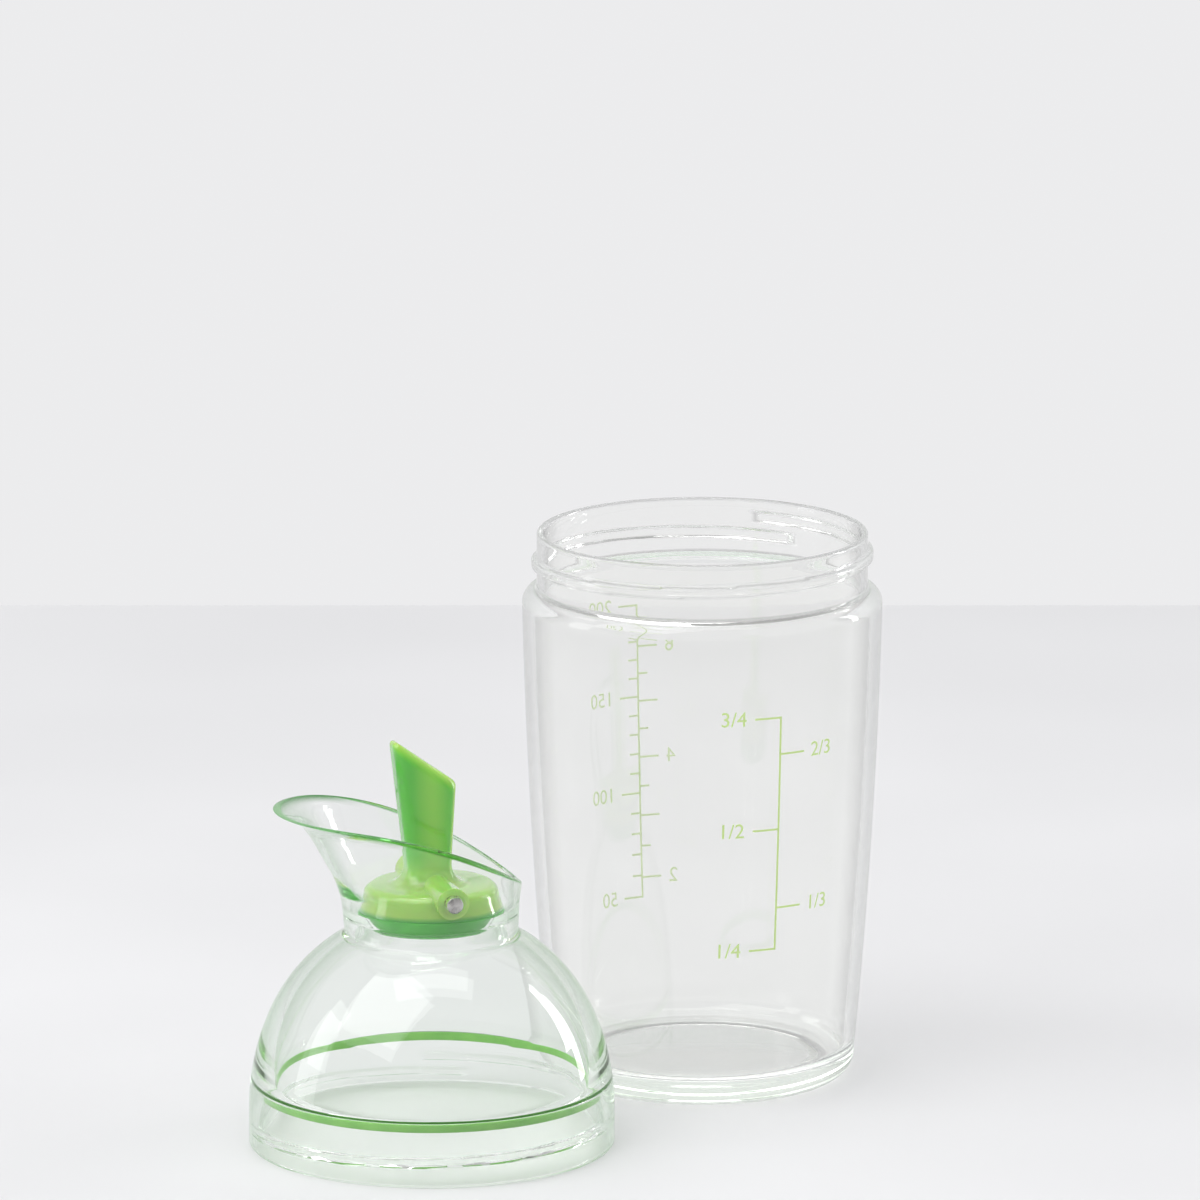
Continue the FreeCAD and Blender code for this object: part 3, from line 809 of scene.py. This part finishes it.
def section_at(stations, height):
    """The spout's reaches at a height above the waist, on a smooth curve through its stations."""
    number = 0
    while number < len(stations) - 2 and height > stations[number + 1][0]:
        number += 1
    low, high = stations[number], stations[number + 1]
    before = stations[max(0, number - 1)]
    after = stations[min(len(stations) - 1, number + 2)]
    span = high[0] - low[0]
    share = (height - low[0]) / span
    reaches = []
    for part in (1, 2, 3):
        low_slope = (high[part] - before[part]) / (high[0] - before[0]) * span
        high_slope = (after[part] - low[part]) / (after[0] - low[0]) * span
        rest = high[part] - low[part]
        curve = low_slope * share * (1 - share) ** 2 - high_slope * share ** 2 * (1 - share)
        reaches.append(low[part] + rest * ease(share) + curve)
    return reaches


def spout_point(stations, angle, height):
    """A point of the spout, from the angle round its oval section at a height."""
    front, rear, half_width = section_at(stations, height)
    x = (rear - front) / 2 + (rear + front) / 2 * math.cos(angle)
    return Vector((x, half_width * math.sin(angle), WAIST + height))


def rim_level(x):
    """The rim's height above the waist, seen from the side."""
    return RIM_CENTRE.y + math.sqrt(RIM_SWEEP ** 2 - (x - RIM_CENTRE.x) ** 2)


def rim_height(stations, angle):
    """The height at which the spout's side meets the rim, found by halving."""
    low, high = stations[0][0], stations[-1][0]
    for _ in range(RIM_HALVINGS):
        middle = (low + high) / 2
        x = spout_point(stations, angle, middle).x
        low, high = (middle, high) if middle < rim_level(x) else (low, middle)
    return low


print("spout has", len(OUTER_STATIONS), "stations, and its tip is at", round(WAIST + TIP_HEIGHT, 1), "mm")

# %% [markdown]
# ## Lid: the skin
#
# Spin makes round shapes only, so the lid is built column by column: each column climbs the
# outside, runs up the spout, turns over the rim and comes down the inside to the skirt's foot.
# Faces then join each column to the next. The outer edge of the rim lies a little lower at the
# sides, so that the rim faces outwards there. The skirt's thread is made as the jar's was, but
# its points move inwards.

# %% Lid: the skin
SPOUT_ROWS = 18
RIM_ROUND = 0.35
RIM_DROP = 0.75
RIM_ROW = 1.6
ROW_SHIFT = 0.35


def corner(before, point, after, steps=4):
    """Points that round off a corner between two others."""
    points = []
    for step in range(steps + 1):
        share = step / steps
        points.append(before.lerp(point, share).lerp(point.lerp(after, share), share))
    return points


def turned(pairs, angle):
    """Points at an angle about the Z axis, from pairs of radius and height."""
    return [Vector((r * math.cos(angle), r * math.sin(angle), z)) for r, z in pairs]


def lid_column(angle):
    """One column of the lid, from the skirt's foot up over the rim and down the inside."""
    outer_rim = rim_height(OUTER_STATIONS, angle) - RIM_DROP * math.sin(angle) ** 2
    inner_rim = rim_height(INNER_STATIONS, angle)
    base = crease_height - WAIST
    outer = []
    for row in range(1, SPOUT_ROWS + 1):
        height = base + (outer_rim - base) * row / SPOUT_ROWS
        outer.append(spout_point(OUTER_STATIONS, angle, height))
    inner = []
    for row in range(SPOUT_ROWS + 1):
        height = inner_rim + (THROAT_TOP - inner_rim) * row / SPOUT_ROWS
        inner.append(spout_point(INNER_STATIONS, angle, height))
    outer_edge, inner_edge = outer.pop(), inner.pop(0)
    across = (inner_edge - outer_edge).normalized() * RIM_ROUND
    down_outside = (outer[-1] - outer_edge).normalized() * RIM_ROUND
    down_inside = (inner[0] - inner_edge).normalized() * RIM_ROUND
    rim = [outer_edge + down_outside * RIM_ROW]
    rim += corner(outer_edge + down_outside, outer_edge, outer_edge + across)
    rim += corner(inner_edge - across, inner_edge, inner_edge + down_inside)
    rim += [inner_edge + down_inside * RIM_ROW]
    outer[-1] = outer[-1].lerp(outer[-2], ROW_SHIFT)
    inner[0] = inner[0].lerp(inner[1], ROW_SHIFT)
    return turned(lid_outside, angle) + outer + rim + inner + turned(lid_inside, angle)


columns = [lid_column(math.tau * step / TURN_STEPS) for step in range(TURN_STEPS)]
lid_mesh = bmesh.new()
rings = [[lid_mesh.verts.new(point * MM) for point in column] for column in columns]
for first, second in zip(rings, rings[1:] + rings[:1]):
    for row in range(len(first)):
        lid_mesh.faces.new((first[row - 1], second[row - 1], second[row], first[row]))
bmesh.ops.recalc_face_normals(lid_mesh, faces=lid_mesh.faces)
raise_thread(
    lid_mesh, base=SKIRT_BORE, proud=-0.9, start=60, end=440, low=2.6, high=6.2,
    half_width=1.0, flank=0.55,
)
print("lid has", len(columns), "columns of", len(columns[0]), "points")

# %% [markdown]
# ## Lid: pin holes and painted rim green
#
# A steel pin passes through both sides of the neck, and its ends lie in shallow recesses. The
# holes cross curved walls, which a Boolean modifier in its exact mode cuts cleanly and a bmesh
# operator doesn't. The rim of the real spout carries green light along its walls and looks green.
# That green is painted light here: its points are marked with the `edge` attribute, on the sloped
# outside down to the rim's lower edge, and the plastic takes its painted edge shade there.

# %% Lid: pin holes and painted rim green
PIN_LEVEL = joints["lever_tilt"]["pos_m"][2] / MM
PIN_RADIUS = 1.5
PIN_RECESS = 15.95
RECESS_LENGTH = 10
RECESS_PLAY = 0.5
HOLE_PLAY = 0.02
HOLE_LENGTH = 60
ROD_SIDES = 64
PAINTED_RIM_FADE = 0.25
PAINTED_RIM_DEPTH = 0.4
OUTER_SHARE = 0.6


def combined(made, tool, operation):
    """A mesh with another joined to it, or cut out of it."""
    holders = []
    for source in (made, tool):
        mesh = bpy.data.meshes.new("combining")
        source.to_mesh(mesh)
        holder = bpy.data.objects.new("combining", mesh)
        bpy.context.scene.collection.objects.link(holder)
        holders.append(holder)
    change = holders[0].modifiers.new("change", "BOOLEAN")
    change.operation = operation
    change.object = holders[1]
    change.solver = "EXACT"
    ready = holders[0].evaluated_get(bpy.context.evaluated_depsgraph_get())
    result = bpy.data.meshes.new_from_object(ready)
    made.clear()
    made.from_mesh(result)
    tool.free()
    for holder in holders:
        bpy.data.meshes.remove(holder.data)
    bpy.data.meshes.remove(result)
    return made


def rod(radius, length, height, aside=0.0):
    """A rod along the lid's Y axis at a height."""
    made = bmesh.new()
    lie = Matrix.Translation((0, aside * MM, height * MM)) @ Matrix.Rotation(math.pi / 2, 4, "X")
    bmesh.ops.create_cone(
        made, cap_ends=True, segments=ROD_SIDES, radius1=radius * MM, radius2=radius * MM,
        depth=length * MM, matrix=lie,
    )
    return made


lid_mesh = combined(lid_mesh, rod(PIN_RADIUS + HOLE_PLAY, HOLE_LENGTH, PIN_LEVEL), "DIFFERENCE")
for side in (-1, 1):
    aside = side * (PIN_RECESS + RECESS_LENGTH / 2)
    recess = rod(PIN_RADIUS + RECESS_PLAY, RECESS_LENGTH, PIN_LEVEL, aside)
    lid_mesh = combined(lid_mesh, recess, "DIFFERENCE")
# Painted light: a green band at the spout's rim, where the real wall carries green light.
edge = lid_mesh.verts.layers.float.new("edge")
for point in lid_mesh.verts:
    x, y, height = point.co.x / MM, point.co.y / MM, point.co.z / MM - WAIST
    point[edge] = 0.0
    if height > THROAT_TOP:
        front, rear, half_width = section_at(OUTER_STATIONS, height)
        aside = y / half_width
        along = (2 * x + front - rear) / (front + rear)
        outside = math.hypot(aside, along) > 1 - OUTER_SHARE * SPOUT_WALL / half_width
        painted_rim_reach = RIM_ROUND * PAINTED_RIM_DEPTH + (RIM_DROP * aside ** 2 if outside else 0)
        point[edge] = 1 - ease((rim_level(x) - height - painted_rim_reach) / PAINTED_RIM_FADE)
bmesh.ops.transform(lid_mesh, matrix=LID, verts=lid_mesh.verts)
piece("lid_shell", lid_mesh, lid_plastic, "lid", "lid")

# %% [markdown]
# ## Gasket and pin
#
# A flat rubber washer lies under the lid's ledge, where it seals on the jar's lip, and a steel
# pin holds the lever. The washer could be a torus, but its section is an oblong with rounded
# corners, so a closed profile is spun. The pin is a rod whose end edges are bevelled, as those of
# a cut pin are.

# %% Gasket and pin
GASKET_ROUND = 0.3
GASKET_LOW = 9.8
GASKET_INNER = 28.95
GASKET_OUTER = 31.25
PIN_LENGTH = 32.3
PIN_BEVEL = 0.3

low, high = GASKET_LOW + GASKET_ROUND, LEDGE - GASKET_ROUND
inner, outer = GASKET_INNER + GASKET_ROUND, GASKET_OUTER - GASKET_ROUND
gasket_mesh = spun([
    *arc((inner, low), GASKET_ROUND, 270, 180, 3), *arc((inner, high), GASKET_ROUND, 180, 90, 3),
    *arc((outer, high), GASKET_ROUND, 90, 0, 3), *arc((outer, low), GASKET_ROUND, 0, -90, 3),
], closed=True)
bmesh.ops.transform(gasket_mesh, matrix=LID, verts=gasket_mesh.verts)
piece("gasket_ring", gasket_mesh, gasket_rubber, "lid", "lid_gasket")

pin_mesh = rod(PIN_RADIUS, PIN_LENGTH, PIN_LEVEL)
ends = [edge for edge in pin_mesh.edges if abs(edge.verts[0].co.y - edge.verts[1].co.y) < TOUCHING]
bmesh.ops.bevel(
    pin_mesh, geom=ends, offset=PIN_BEVEL * MM, segments=3, profile=0.5, affect="EDGES", material=-1,
)
bmesh.ops.transform(pin_mesh, matrix=LID, verts=pin_mesh.verts)
piece("steel_pin", pin_mesh, pin_steel, "lid", "pivot_pin")

# %% [markdown]
# ## Lever: the blade
#
# The lever is one green moulding, a thumb blade on a round plug that shuts the spout. The blade
# leans to the front, its section is an oblong with rounded corners, and its top slants down to
# the rear. A box could be sheared and bevelled, but the bevel wouldn't run into the round plug.
# So the blade is given by points: `blade_point` finds its side in a direction by halving, and
# `top_edge_point` rounds the slanting top, more at its sides than at its two ends.

# %% Lever: the blade
PLUG_TOP = WAIST + 9.25
BLADE_FRONT = ((-4.1, PLUG_TOP - 2), (-7.5, WAIST + 36.2))
BLADE_REAR = ((3.1, PLUG_TOP - 2), (4.35, WAIST + 27.6))
BLADE_HALF = 3.0
BLADE_ROUND = 2.0
BLADE_FLAT = 1
BLADE_HALVINGS = 30
TOP_FRONT_ROUND = 1.3
TOP_REAR_ROUND = 0.6
TOP_TRIES = 12
TOP_SLOPE = (BLADE_FRONT[1][1] - BLADE_REAR[1][1]) / (BLADE_REAR[1][0] - BLADE_FRONT[1][0])
TOP_LEAN = math.hypot(1, TOP_SLOPE)


def on_line(ends, height):
    """Where a leaning edge of the blade is at a height."""
    (low_x, low), (high_x, high) = ends
    return low_x + (high_x - low_x) * (height - low) / (high - low)


def blade_point(angle, height, grow):
    """A point of the blade's rounded section, widened all round by grow."""
    front, rear = on_line(BLADE_FRONT, height), on_line(BLADE_REAR, height)
    middle = (front + rear) / 2
    half = Vector(((rear - front) / 2 + grow, BLADE_HALF + grow))
    radius = BLADE_ROUND + grow
    way = Vector((math.cos(angle), math.sin(angle)))
    near, far = 0.0, half.length
    for _ in range(BLADE_HALVINGS):
        reach = (near + far) / 2
        beyond_x = max(0.0, abs(way.x * reach) - half.x + radius)
        beyond_y = max(0.0, abs(way.y * reach) - half.y + radius)
        near, far = (reach, far) if math.hypot(beyond_x, beyond_y) < radius else (near, reach)
    return Vector((middle + way.x * near, way.y * near, height))


def blade_top(x):
    """The height of the blade's slanting top."""
    return BLADE_FRONT[1][1] - (x - BLADE_FRONT[1][0]) * TOP_SLOPE


def top_edge_point(angle, turn):
    """A point of the rounding at the blade's top, which is wide at its sides and narrow at its ends."""
    height = BLADE_REAR[1][1]
    side = ease((abs(blade_point(angle, height, 0).y) - BLADE_FLAT) / (BLADE_HALF - BLADE_FLAT))
    end = TOP_REAR_ROUND if math.cos(angle) > 0 else TOP_FRONT_ROUND
    radius = end + (BLADE_ROUND - end) * side
    for _ in range(TOP_TRIES):
        point = blade_point(angle, height, radius * (math.cos(turn) - 1))
        height = blade_top(point.x) - radius * (1 - math.sin(turn)) * TOP_LEAN
    return Vector((point.x, point.y, height))


print("blade's top slants by", round(math.degrees(math.atan(TOP_SLOPE)), 1), "degrees")

# %% [markdown]
# ## Lever: the plug and the whole
#
# The plug is turned, with a groove for its seal, and the blade's root widens into it by a round
# fillet. As with the lid, columns run from the top of the blade down to the underside of the plug
# and are joined by faces. The bosses that turn on the pin are one rod, joined on, and the pin's
# bore is cut through it.
#
# Light gathers in the top, the rear edge and the middle of the real blade and makes them paler.
# That light is painted: their points get the `edge` attribute, which the green plastic reads as its
# paler colour.

# %% Lever: the plug and the whole
LEVER_STEPS = 120
TOP_STEPS = 6
BLADE_ROWS = 12
ROOT_STEPS = 8
ROOT_ROUND = 3.8
PLUG_ROUND = 1.9
PLUG_FLAT = 10.6
PLUG_SIDE = 12.2
PLUG_WIDEST = 13.05
SEAL_LOW = WAIST + 2.45
SEAL_HIGH = SEAL_LOW + 2.1
GROOVE_RADIUS = 11.0
FOOT_LIP = 11.8
FOOT_DEPTH = 0.8
UNDERSIDE_RADIUS = 6.0
BOSS_RADIUS = 2.9
BOSS_LENGTH = 28.2
BORE_PLAY = 0.08
BORE_LENGTH = 40
PAINTED_LIGHT_FROM = PLUG_TOP + 3
PAINTED_LIGHT_REAR = 1.2
PAINTED_LIGHT_MIDDLE = 0.5
PAINTED_LIGHT_HALF_WIDTH = 4.5
MIDDLE_TO_FRONT = 0.45

round_centre = arc_centre((PLUG_SIDE, WAIST + 7.45), (PLUG_FLAT, PLUG_TOP), PLUG_ROUND)
plug_profile = [
    *arc(round_centre, PLUG_ROUND, 83, 12, 8),
    (PLUG_SIDE + 0.05, WAIST + 7.2),
    (PLUG_WIDEST, SEAL_HIGH + 0.25), (PLUG_WIDEST - 0.15, SEAL_HIGH),
    (GROOVE_RADIUS, SEAL_HIGH), (GROOVE_RADIUS, SEAL_LOW),
    (FOOT_LIP - 0.2, SEAL_LOW), (FOOT_LIP, SEAL_LOW - 0.2), (FOOT_LIP, SEAL_LOW - 0.5),
    (FOOT_LIP - 0.3, SEAL_LOW - FOOT_DEPTH), (UNDERSIDE_RADIUS, SEAL_LOW - FOOT_DEPTH),
]


def lever_column(angle):
    """One column of the lever, from the top of its blade down to the underside of its plug."""
    column = []
    for step in range(TOP_STEPS + 1):
        column.append(top_edge_point(angle, math.radians(90 - 90 * step / TOP_STEPS)))
    start, root = column[-1].z, PLUG_TOP + ROOT_ROUND
    for row in range(1, BLADE_ROWS + 1):
        column.append(blade_point(angle, start + (root - start) * row / BLADE_ROWS, 0))
    for step in range(1, ROOT_STEPS + 1):
        turn = math.radians(90 * step / ROOT_STEPS)
        height = PLUG_TOP + ROOT_ROUND * (1 - math.sin(turn))
        column.append(blade_point(angle, height, ROOT_ROUND * (1 - math.cos(turn))))
    return column + turned(plug_profile, angle)


lever_mesh = bmesh.new()
columns = [lever_column(math.tau * step / LEVER_STEPS) for step in range(LEVER_STEPS)]
rings = [[lever_mesh.verts.new(point * MM) for point in column] for column in columns]
for first, second in zip(rings, rings[1:] + rings[:1]):
    for row in range(1, len(first)):
        lever_mesh.faces.new((first[row - 1], first[row], second[row], second[row - 1]))
for row in (0, -1):
    lever_mesh.faces.new([ring[row] for ring in rings])
bmesh.ops.recalc_face_normals(lever_mesh, faces=lever_mesh.faces)
lever_mesh = combined(lever_mesh, rod(BOSS_RADIUS, BOSS_LENGTH, PIN_LEVEL), "UNION")
lever_mesh = combined(lever_mesh, rod(PIN_RADIUS + BORE_PLAY, BORE_LENGTH, PIN_LEVEL), "DIFFERENCE")
# Painted light: the blade's top, rear edge and middle band are marked paler.
edge = lever_mesh.verts.layers.float.new("edge")
for point in lever_mesh.verts:
    x, height = point.co.x / MM, point.co.z / MM
    front, rear = on_line(BLADE_FRONT, height), on_line(BLADE_REAR, height)
    middle = front * MIDDLE_TO_FRONT + rear * (1 - MIDDLE_TO_FRONT)
    painted_top_light = 1 - ease((blade_top(x) - height) / TOP_LEAN / BLADE_ROUND)
    painted_rear_light = ease(x - rear + PAINTED_LIGHT_REAR)
    painted_middle_light = PAINTED_LIGHT_MIDDLE * (1 - ease(abs(x - middle) / PAINTED_LIGHT_HALF_WIDTH))
    point[edge] = max(painted_top_light, painted_rear_light, painted_middle_light) if height > PAINTED_LIGHT_FROM else 0.0
bmesh.ops.transform(lever_mesh, matrix=LID, verts=lever_mesh.verts)
piece("thumb_lever", lever_mesh, lever_plastic, "lever", "lever", crease=30)

# %% [markdown]
# ## Seal
#
# A soft ring in the plug's groove closes the gap to the lid's seat and keeps the spout shut. A
# torus would be the quick way, but this ring has nearly flat sides and a lower outer edge that is
# rounded more, towards the cone of the seat. So it is a closed profile again, spun like the
# gasket, and it rides on the lever.

# %% Seal
SEAL_REACH = 13.2
SEAL_LOW_ROUND = 0.7
SEAL_HIGH_ROUND = 0.3
SEAL_BREAK = 0.2

low_centre = (SEAL_REACH - SEAL_LOW_ROUND, SEAL_LOW + SEAL_LOW_ROUND)
high_centre = (SEAL_REACH - SEAL_HIGH_ROUND, SEAL_HIGH - SEAL_HIGH_ROUND)
seal_mesh = spun([
    (GROOVE_RADIUS, SEAL_LOW + SEAL_BREAK), (GROOVE_RADIUS + SEAL_BREAK, SEAL_LOW),
    *arc(low_centre, SEAL_LOW_ROUND, -90, 0, 6), *arc(high_centre, SEAL_HIGH_ROUND, 0, 90, 4),
    (GROOVE_RADIUS + SEAL_BREAK, SEAL_HIGH), (GROOVE_RADIUS, SEAL_HIGH - SEAL_BREAK),
], closed=True)
bmesh.ops.transform(seal_mesh, matrix=LID, verts=seal_mesh.verts)
piece("plug_seal", seal_mesh, seal_rubber, "lever", "stopper_seal")

# %% [markdown]
# ## Table
#
# The bottle stands on a pale table whose far edge shows behind the jar, and one flat sheet is
# enough for it. It is dull, so that it takes a soft shadow and mirrors no lamp. Its sizes are
# in metres.

# %% Table
TABLE_WIDTH = 6
TABLE_DEPTH = 2.5
TABLE_FAR_EDGE = 0.396

table_mesh = bmesh.new()
table_place = Matrix.Translation((0, TABLE_FAR_EDGE - TABLE_DEPTH / 2, 0))
table_stretch = Matrix.Diagonal((TABLE_WIDTH, TABLE_DEPTH, 1, 1))
bmesh.ops.create_grid(table_mesh, x_segments=1, y_segments=1, size=0.5)
bmesh.ops.transform(table_mesh, matrix=table_place @ table_stretch, verts=table_mesh.verts)
table_data = bpy.data.meshes.new("table_top")
table_mesh.to_mesh(table_data)
table_mesh.free()
table_finish = plain_finish(
    "table_finish", linear(220, 220, 221), linear(228, 228, 229), scale=6, rough=0.6,
)
dial(table_finish.node_tree.nodes["Principled BSDF"], {"Specular IOR Level": 0.1})
table_data.materials.append(table_finish)
table_top = bpy.data.objects.new("table_top", table_data)
bpy.context.scene.collection.objects.link(table_top)
table_top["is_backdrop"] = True
print("table is", TABLE_WIDTH, "by", TABLE_DEPTH, "metres")

# %% [markdown]
# ## Wall of light
#
# Clear plastic shows what stands around it. A pale sheet could be hung behind the table, but the
# world does it with less: rays from the camera, and rays that a piece reflects or lets through,
# see a pale wall ahead. It darkens towards the sides and behind the camera, which draws the grey
# edges of the clear pieces. All other rays see an even grey, which fills the shadows.

# %% Wall of light
WALL_FROM, WALL_TO = -0.1, 0.85
WALL_SIDES = (0.50, 0.50, 0.50, 1)
WALL_AHEAD = (0.84, 0.84, 0.85, 1)
FILL = (0.55, 0.55, 0.56, 1)

world = bpy.data.worlds.new("studio")
world.use_nodes = True
bpy.context.scene.world = world
tree = world.node_tree
direction = add_node(tree, "TexCoord")
split = add_node(tree, "SeparateXYZ")
ahead = add_node(tree, "MapRange", {"From Min": WALL_FROM, "From Max": WALL_TO})
wall = colour_ramp(tree, [(0, WALL_SIDES), (1, WALL_AHEAD)])
rays = add_node(tree, "LightPath")
seen = add_node(tree, "Math", operation="MAXIMUM")
seen_through = add_node(tree, "Math", operation="MAXIMUM")
sky, unseen_sky, seen_sky, sky_colour = colour_mix(tree)
unseen_sky.default_value = FILL
link(tree, direction, "Generated", split, "Vector")
link(tree, split, "Y", ahead, "Value")
link(tree, ahead, "Result", wall, "Fac")
link(tree, rays, "Is Camera Ray", seen, 0)
link(tree, rays, "Is Glossy Ray", seen, 1)
link(tree, seen, "Value", seen_through, 0)
link(tree, rays, "Is Transmission Ray", seen_through, 1)
link(tree, seen_through, "Value", sky, "Factor")
tree.links.new(wall.outputs["Color"], seen_sky)
tree.links.new(sky_colour, tree.nodes["Background"].inputs["Color"])
print("world has", len(tree.nodes), "nodes")

# %% [markdown]
# ## Lamps
#
# Gloss and clear plastic want large, soft lamps, whose reflections are broad and whose shadows are
# pale. A sun or a point lamp would leave hard spots. The key lamp hangs at the upper left, two more
# hang above, and an upright strip at each side draws long highlights. Places and sizes are in
# metres and powers in watts.

# %% Lamps
MIDDLE = (-0.02, -0.02, 0.05)


def soft_lamp(name, place, width, height, power):
    """A soft rectangular lamp that faces the middle of the bottle."""
    data = bpy.data.lights.new(name, "AREA")
    data.shape = "RECTANGLE"
    data.size = width
    data.size_y = height
    data.energy = power
    lamp = bpy.data.objects.new(name, data)
    lamp.location = place
    lamp.rotation_euler = (Vector(MIDDLE) - Vector(place)).to_track_quat("-Z", "Y").to_euler()
    bpy.context.scene.collection.objects.link(lamp)


soft_lamp("key", (-0.9, -0.7, 1.4), width=1.5, height=1.5, power=15)
soft_lamp("top", (-0.02, 0.3, 1.65), width=0.55, height=0.2, power=3)
soft_lamp("front", (0.0, -0.35, 1.65), width=1.3, height=0.5, power=4)
soft_lamp("right_strip", (0.95, 0.38, 0.2), width=0.12, height=0.9, power=3)
soft_lamp("left_strip", (-1.0, -0.1, 0.2), width=0.3, height=0.9, power=2)
print("lamps:", sorted(lamp.name for lamp in bpy.data.lights))

# %% [markdown]
# ## Camera and box
#
# The camera stands two metres back with a long lens, so that upright lines stay nearly upright, and
# looks along +Y and down by 12.5 degrees. A short lens from close by would show the same pieces,
# but the ovals of lip and foot would differ more. The last lines print the box of the finished
# pieces.

# %% Camera and box
CAMERA_TILT = math.radians(12.5)
CAMERA_AWAY = 2.0
CAMERA_AIM = Vector((-0.0187, 0, 0.0890))
LENS = 328
SENSOR = 36

back = Vector((0, -math.cos(CAMERA_TILT), math.sin(CAMERA_TILT)))
camera_data = bpy.data.cameras.new("camera")
camera_data.lens = LENS
camera_data.sensor_width = SENSOR
camera = bpy.data.objects.new("camera", camera_data)
camera.location = CAMERA_AIM + back * CAMERA_AWAY
camera.rotation_euler = (-back).to_track_quat("-Z", "Y").to_euler()
bpy.context.scene.collection.objects.link(camera)
bpy.context.scene.camera = camera
bpy.context.scene.view_settings.view_transform = "Standard"

low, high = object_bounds()
print("box of the pieces in mm", [round(v / MM, 1) for v in (*low, *high)])
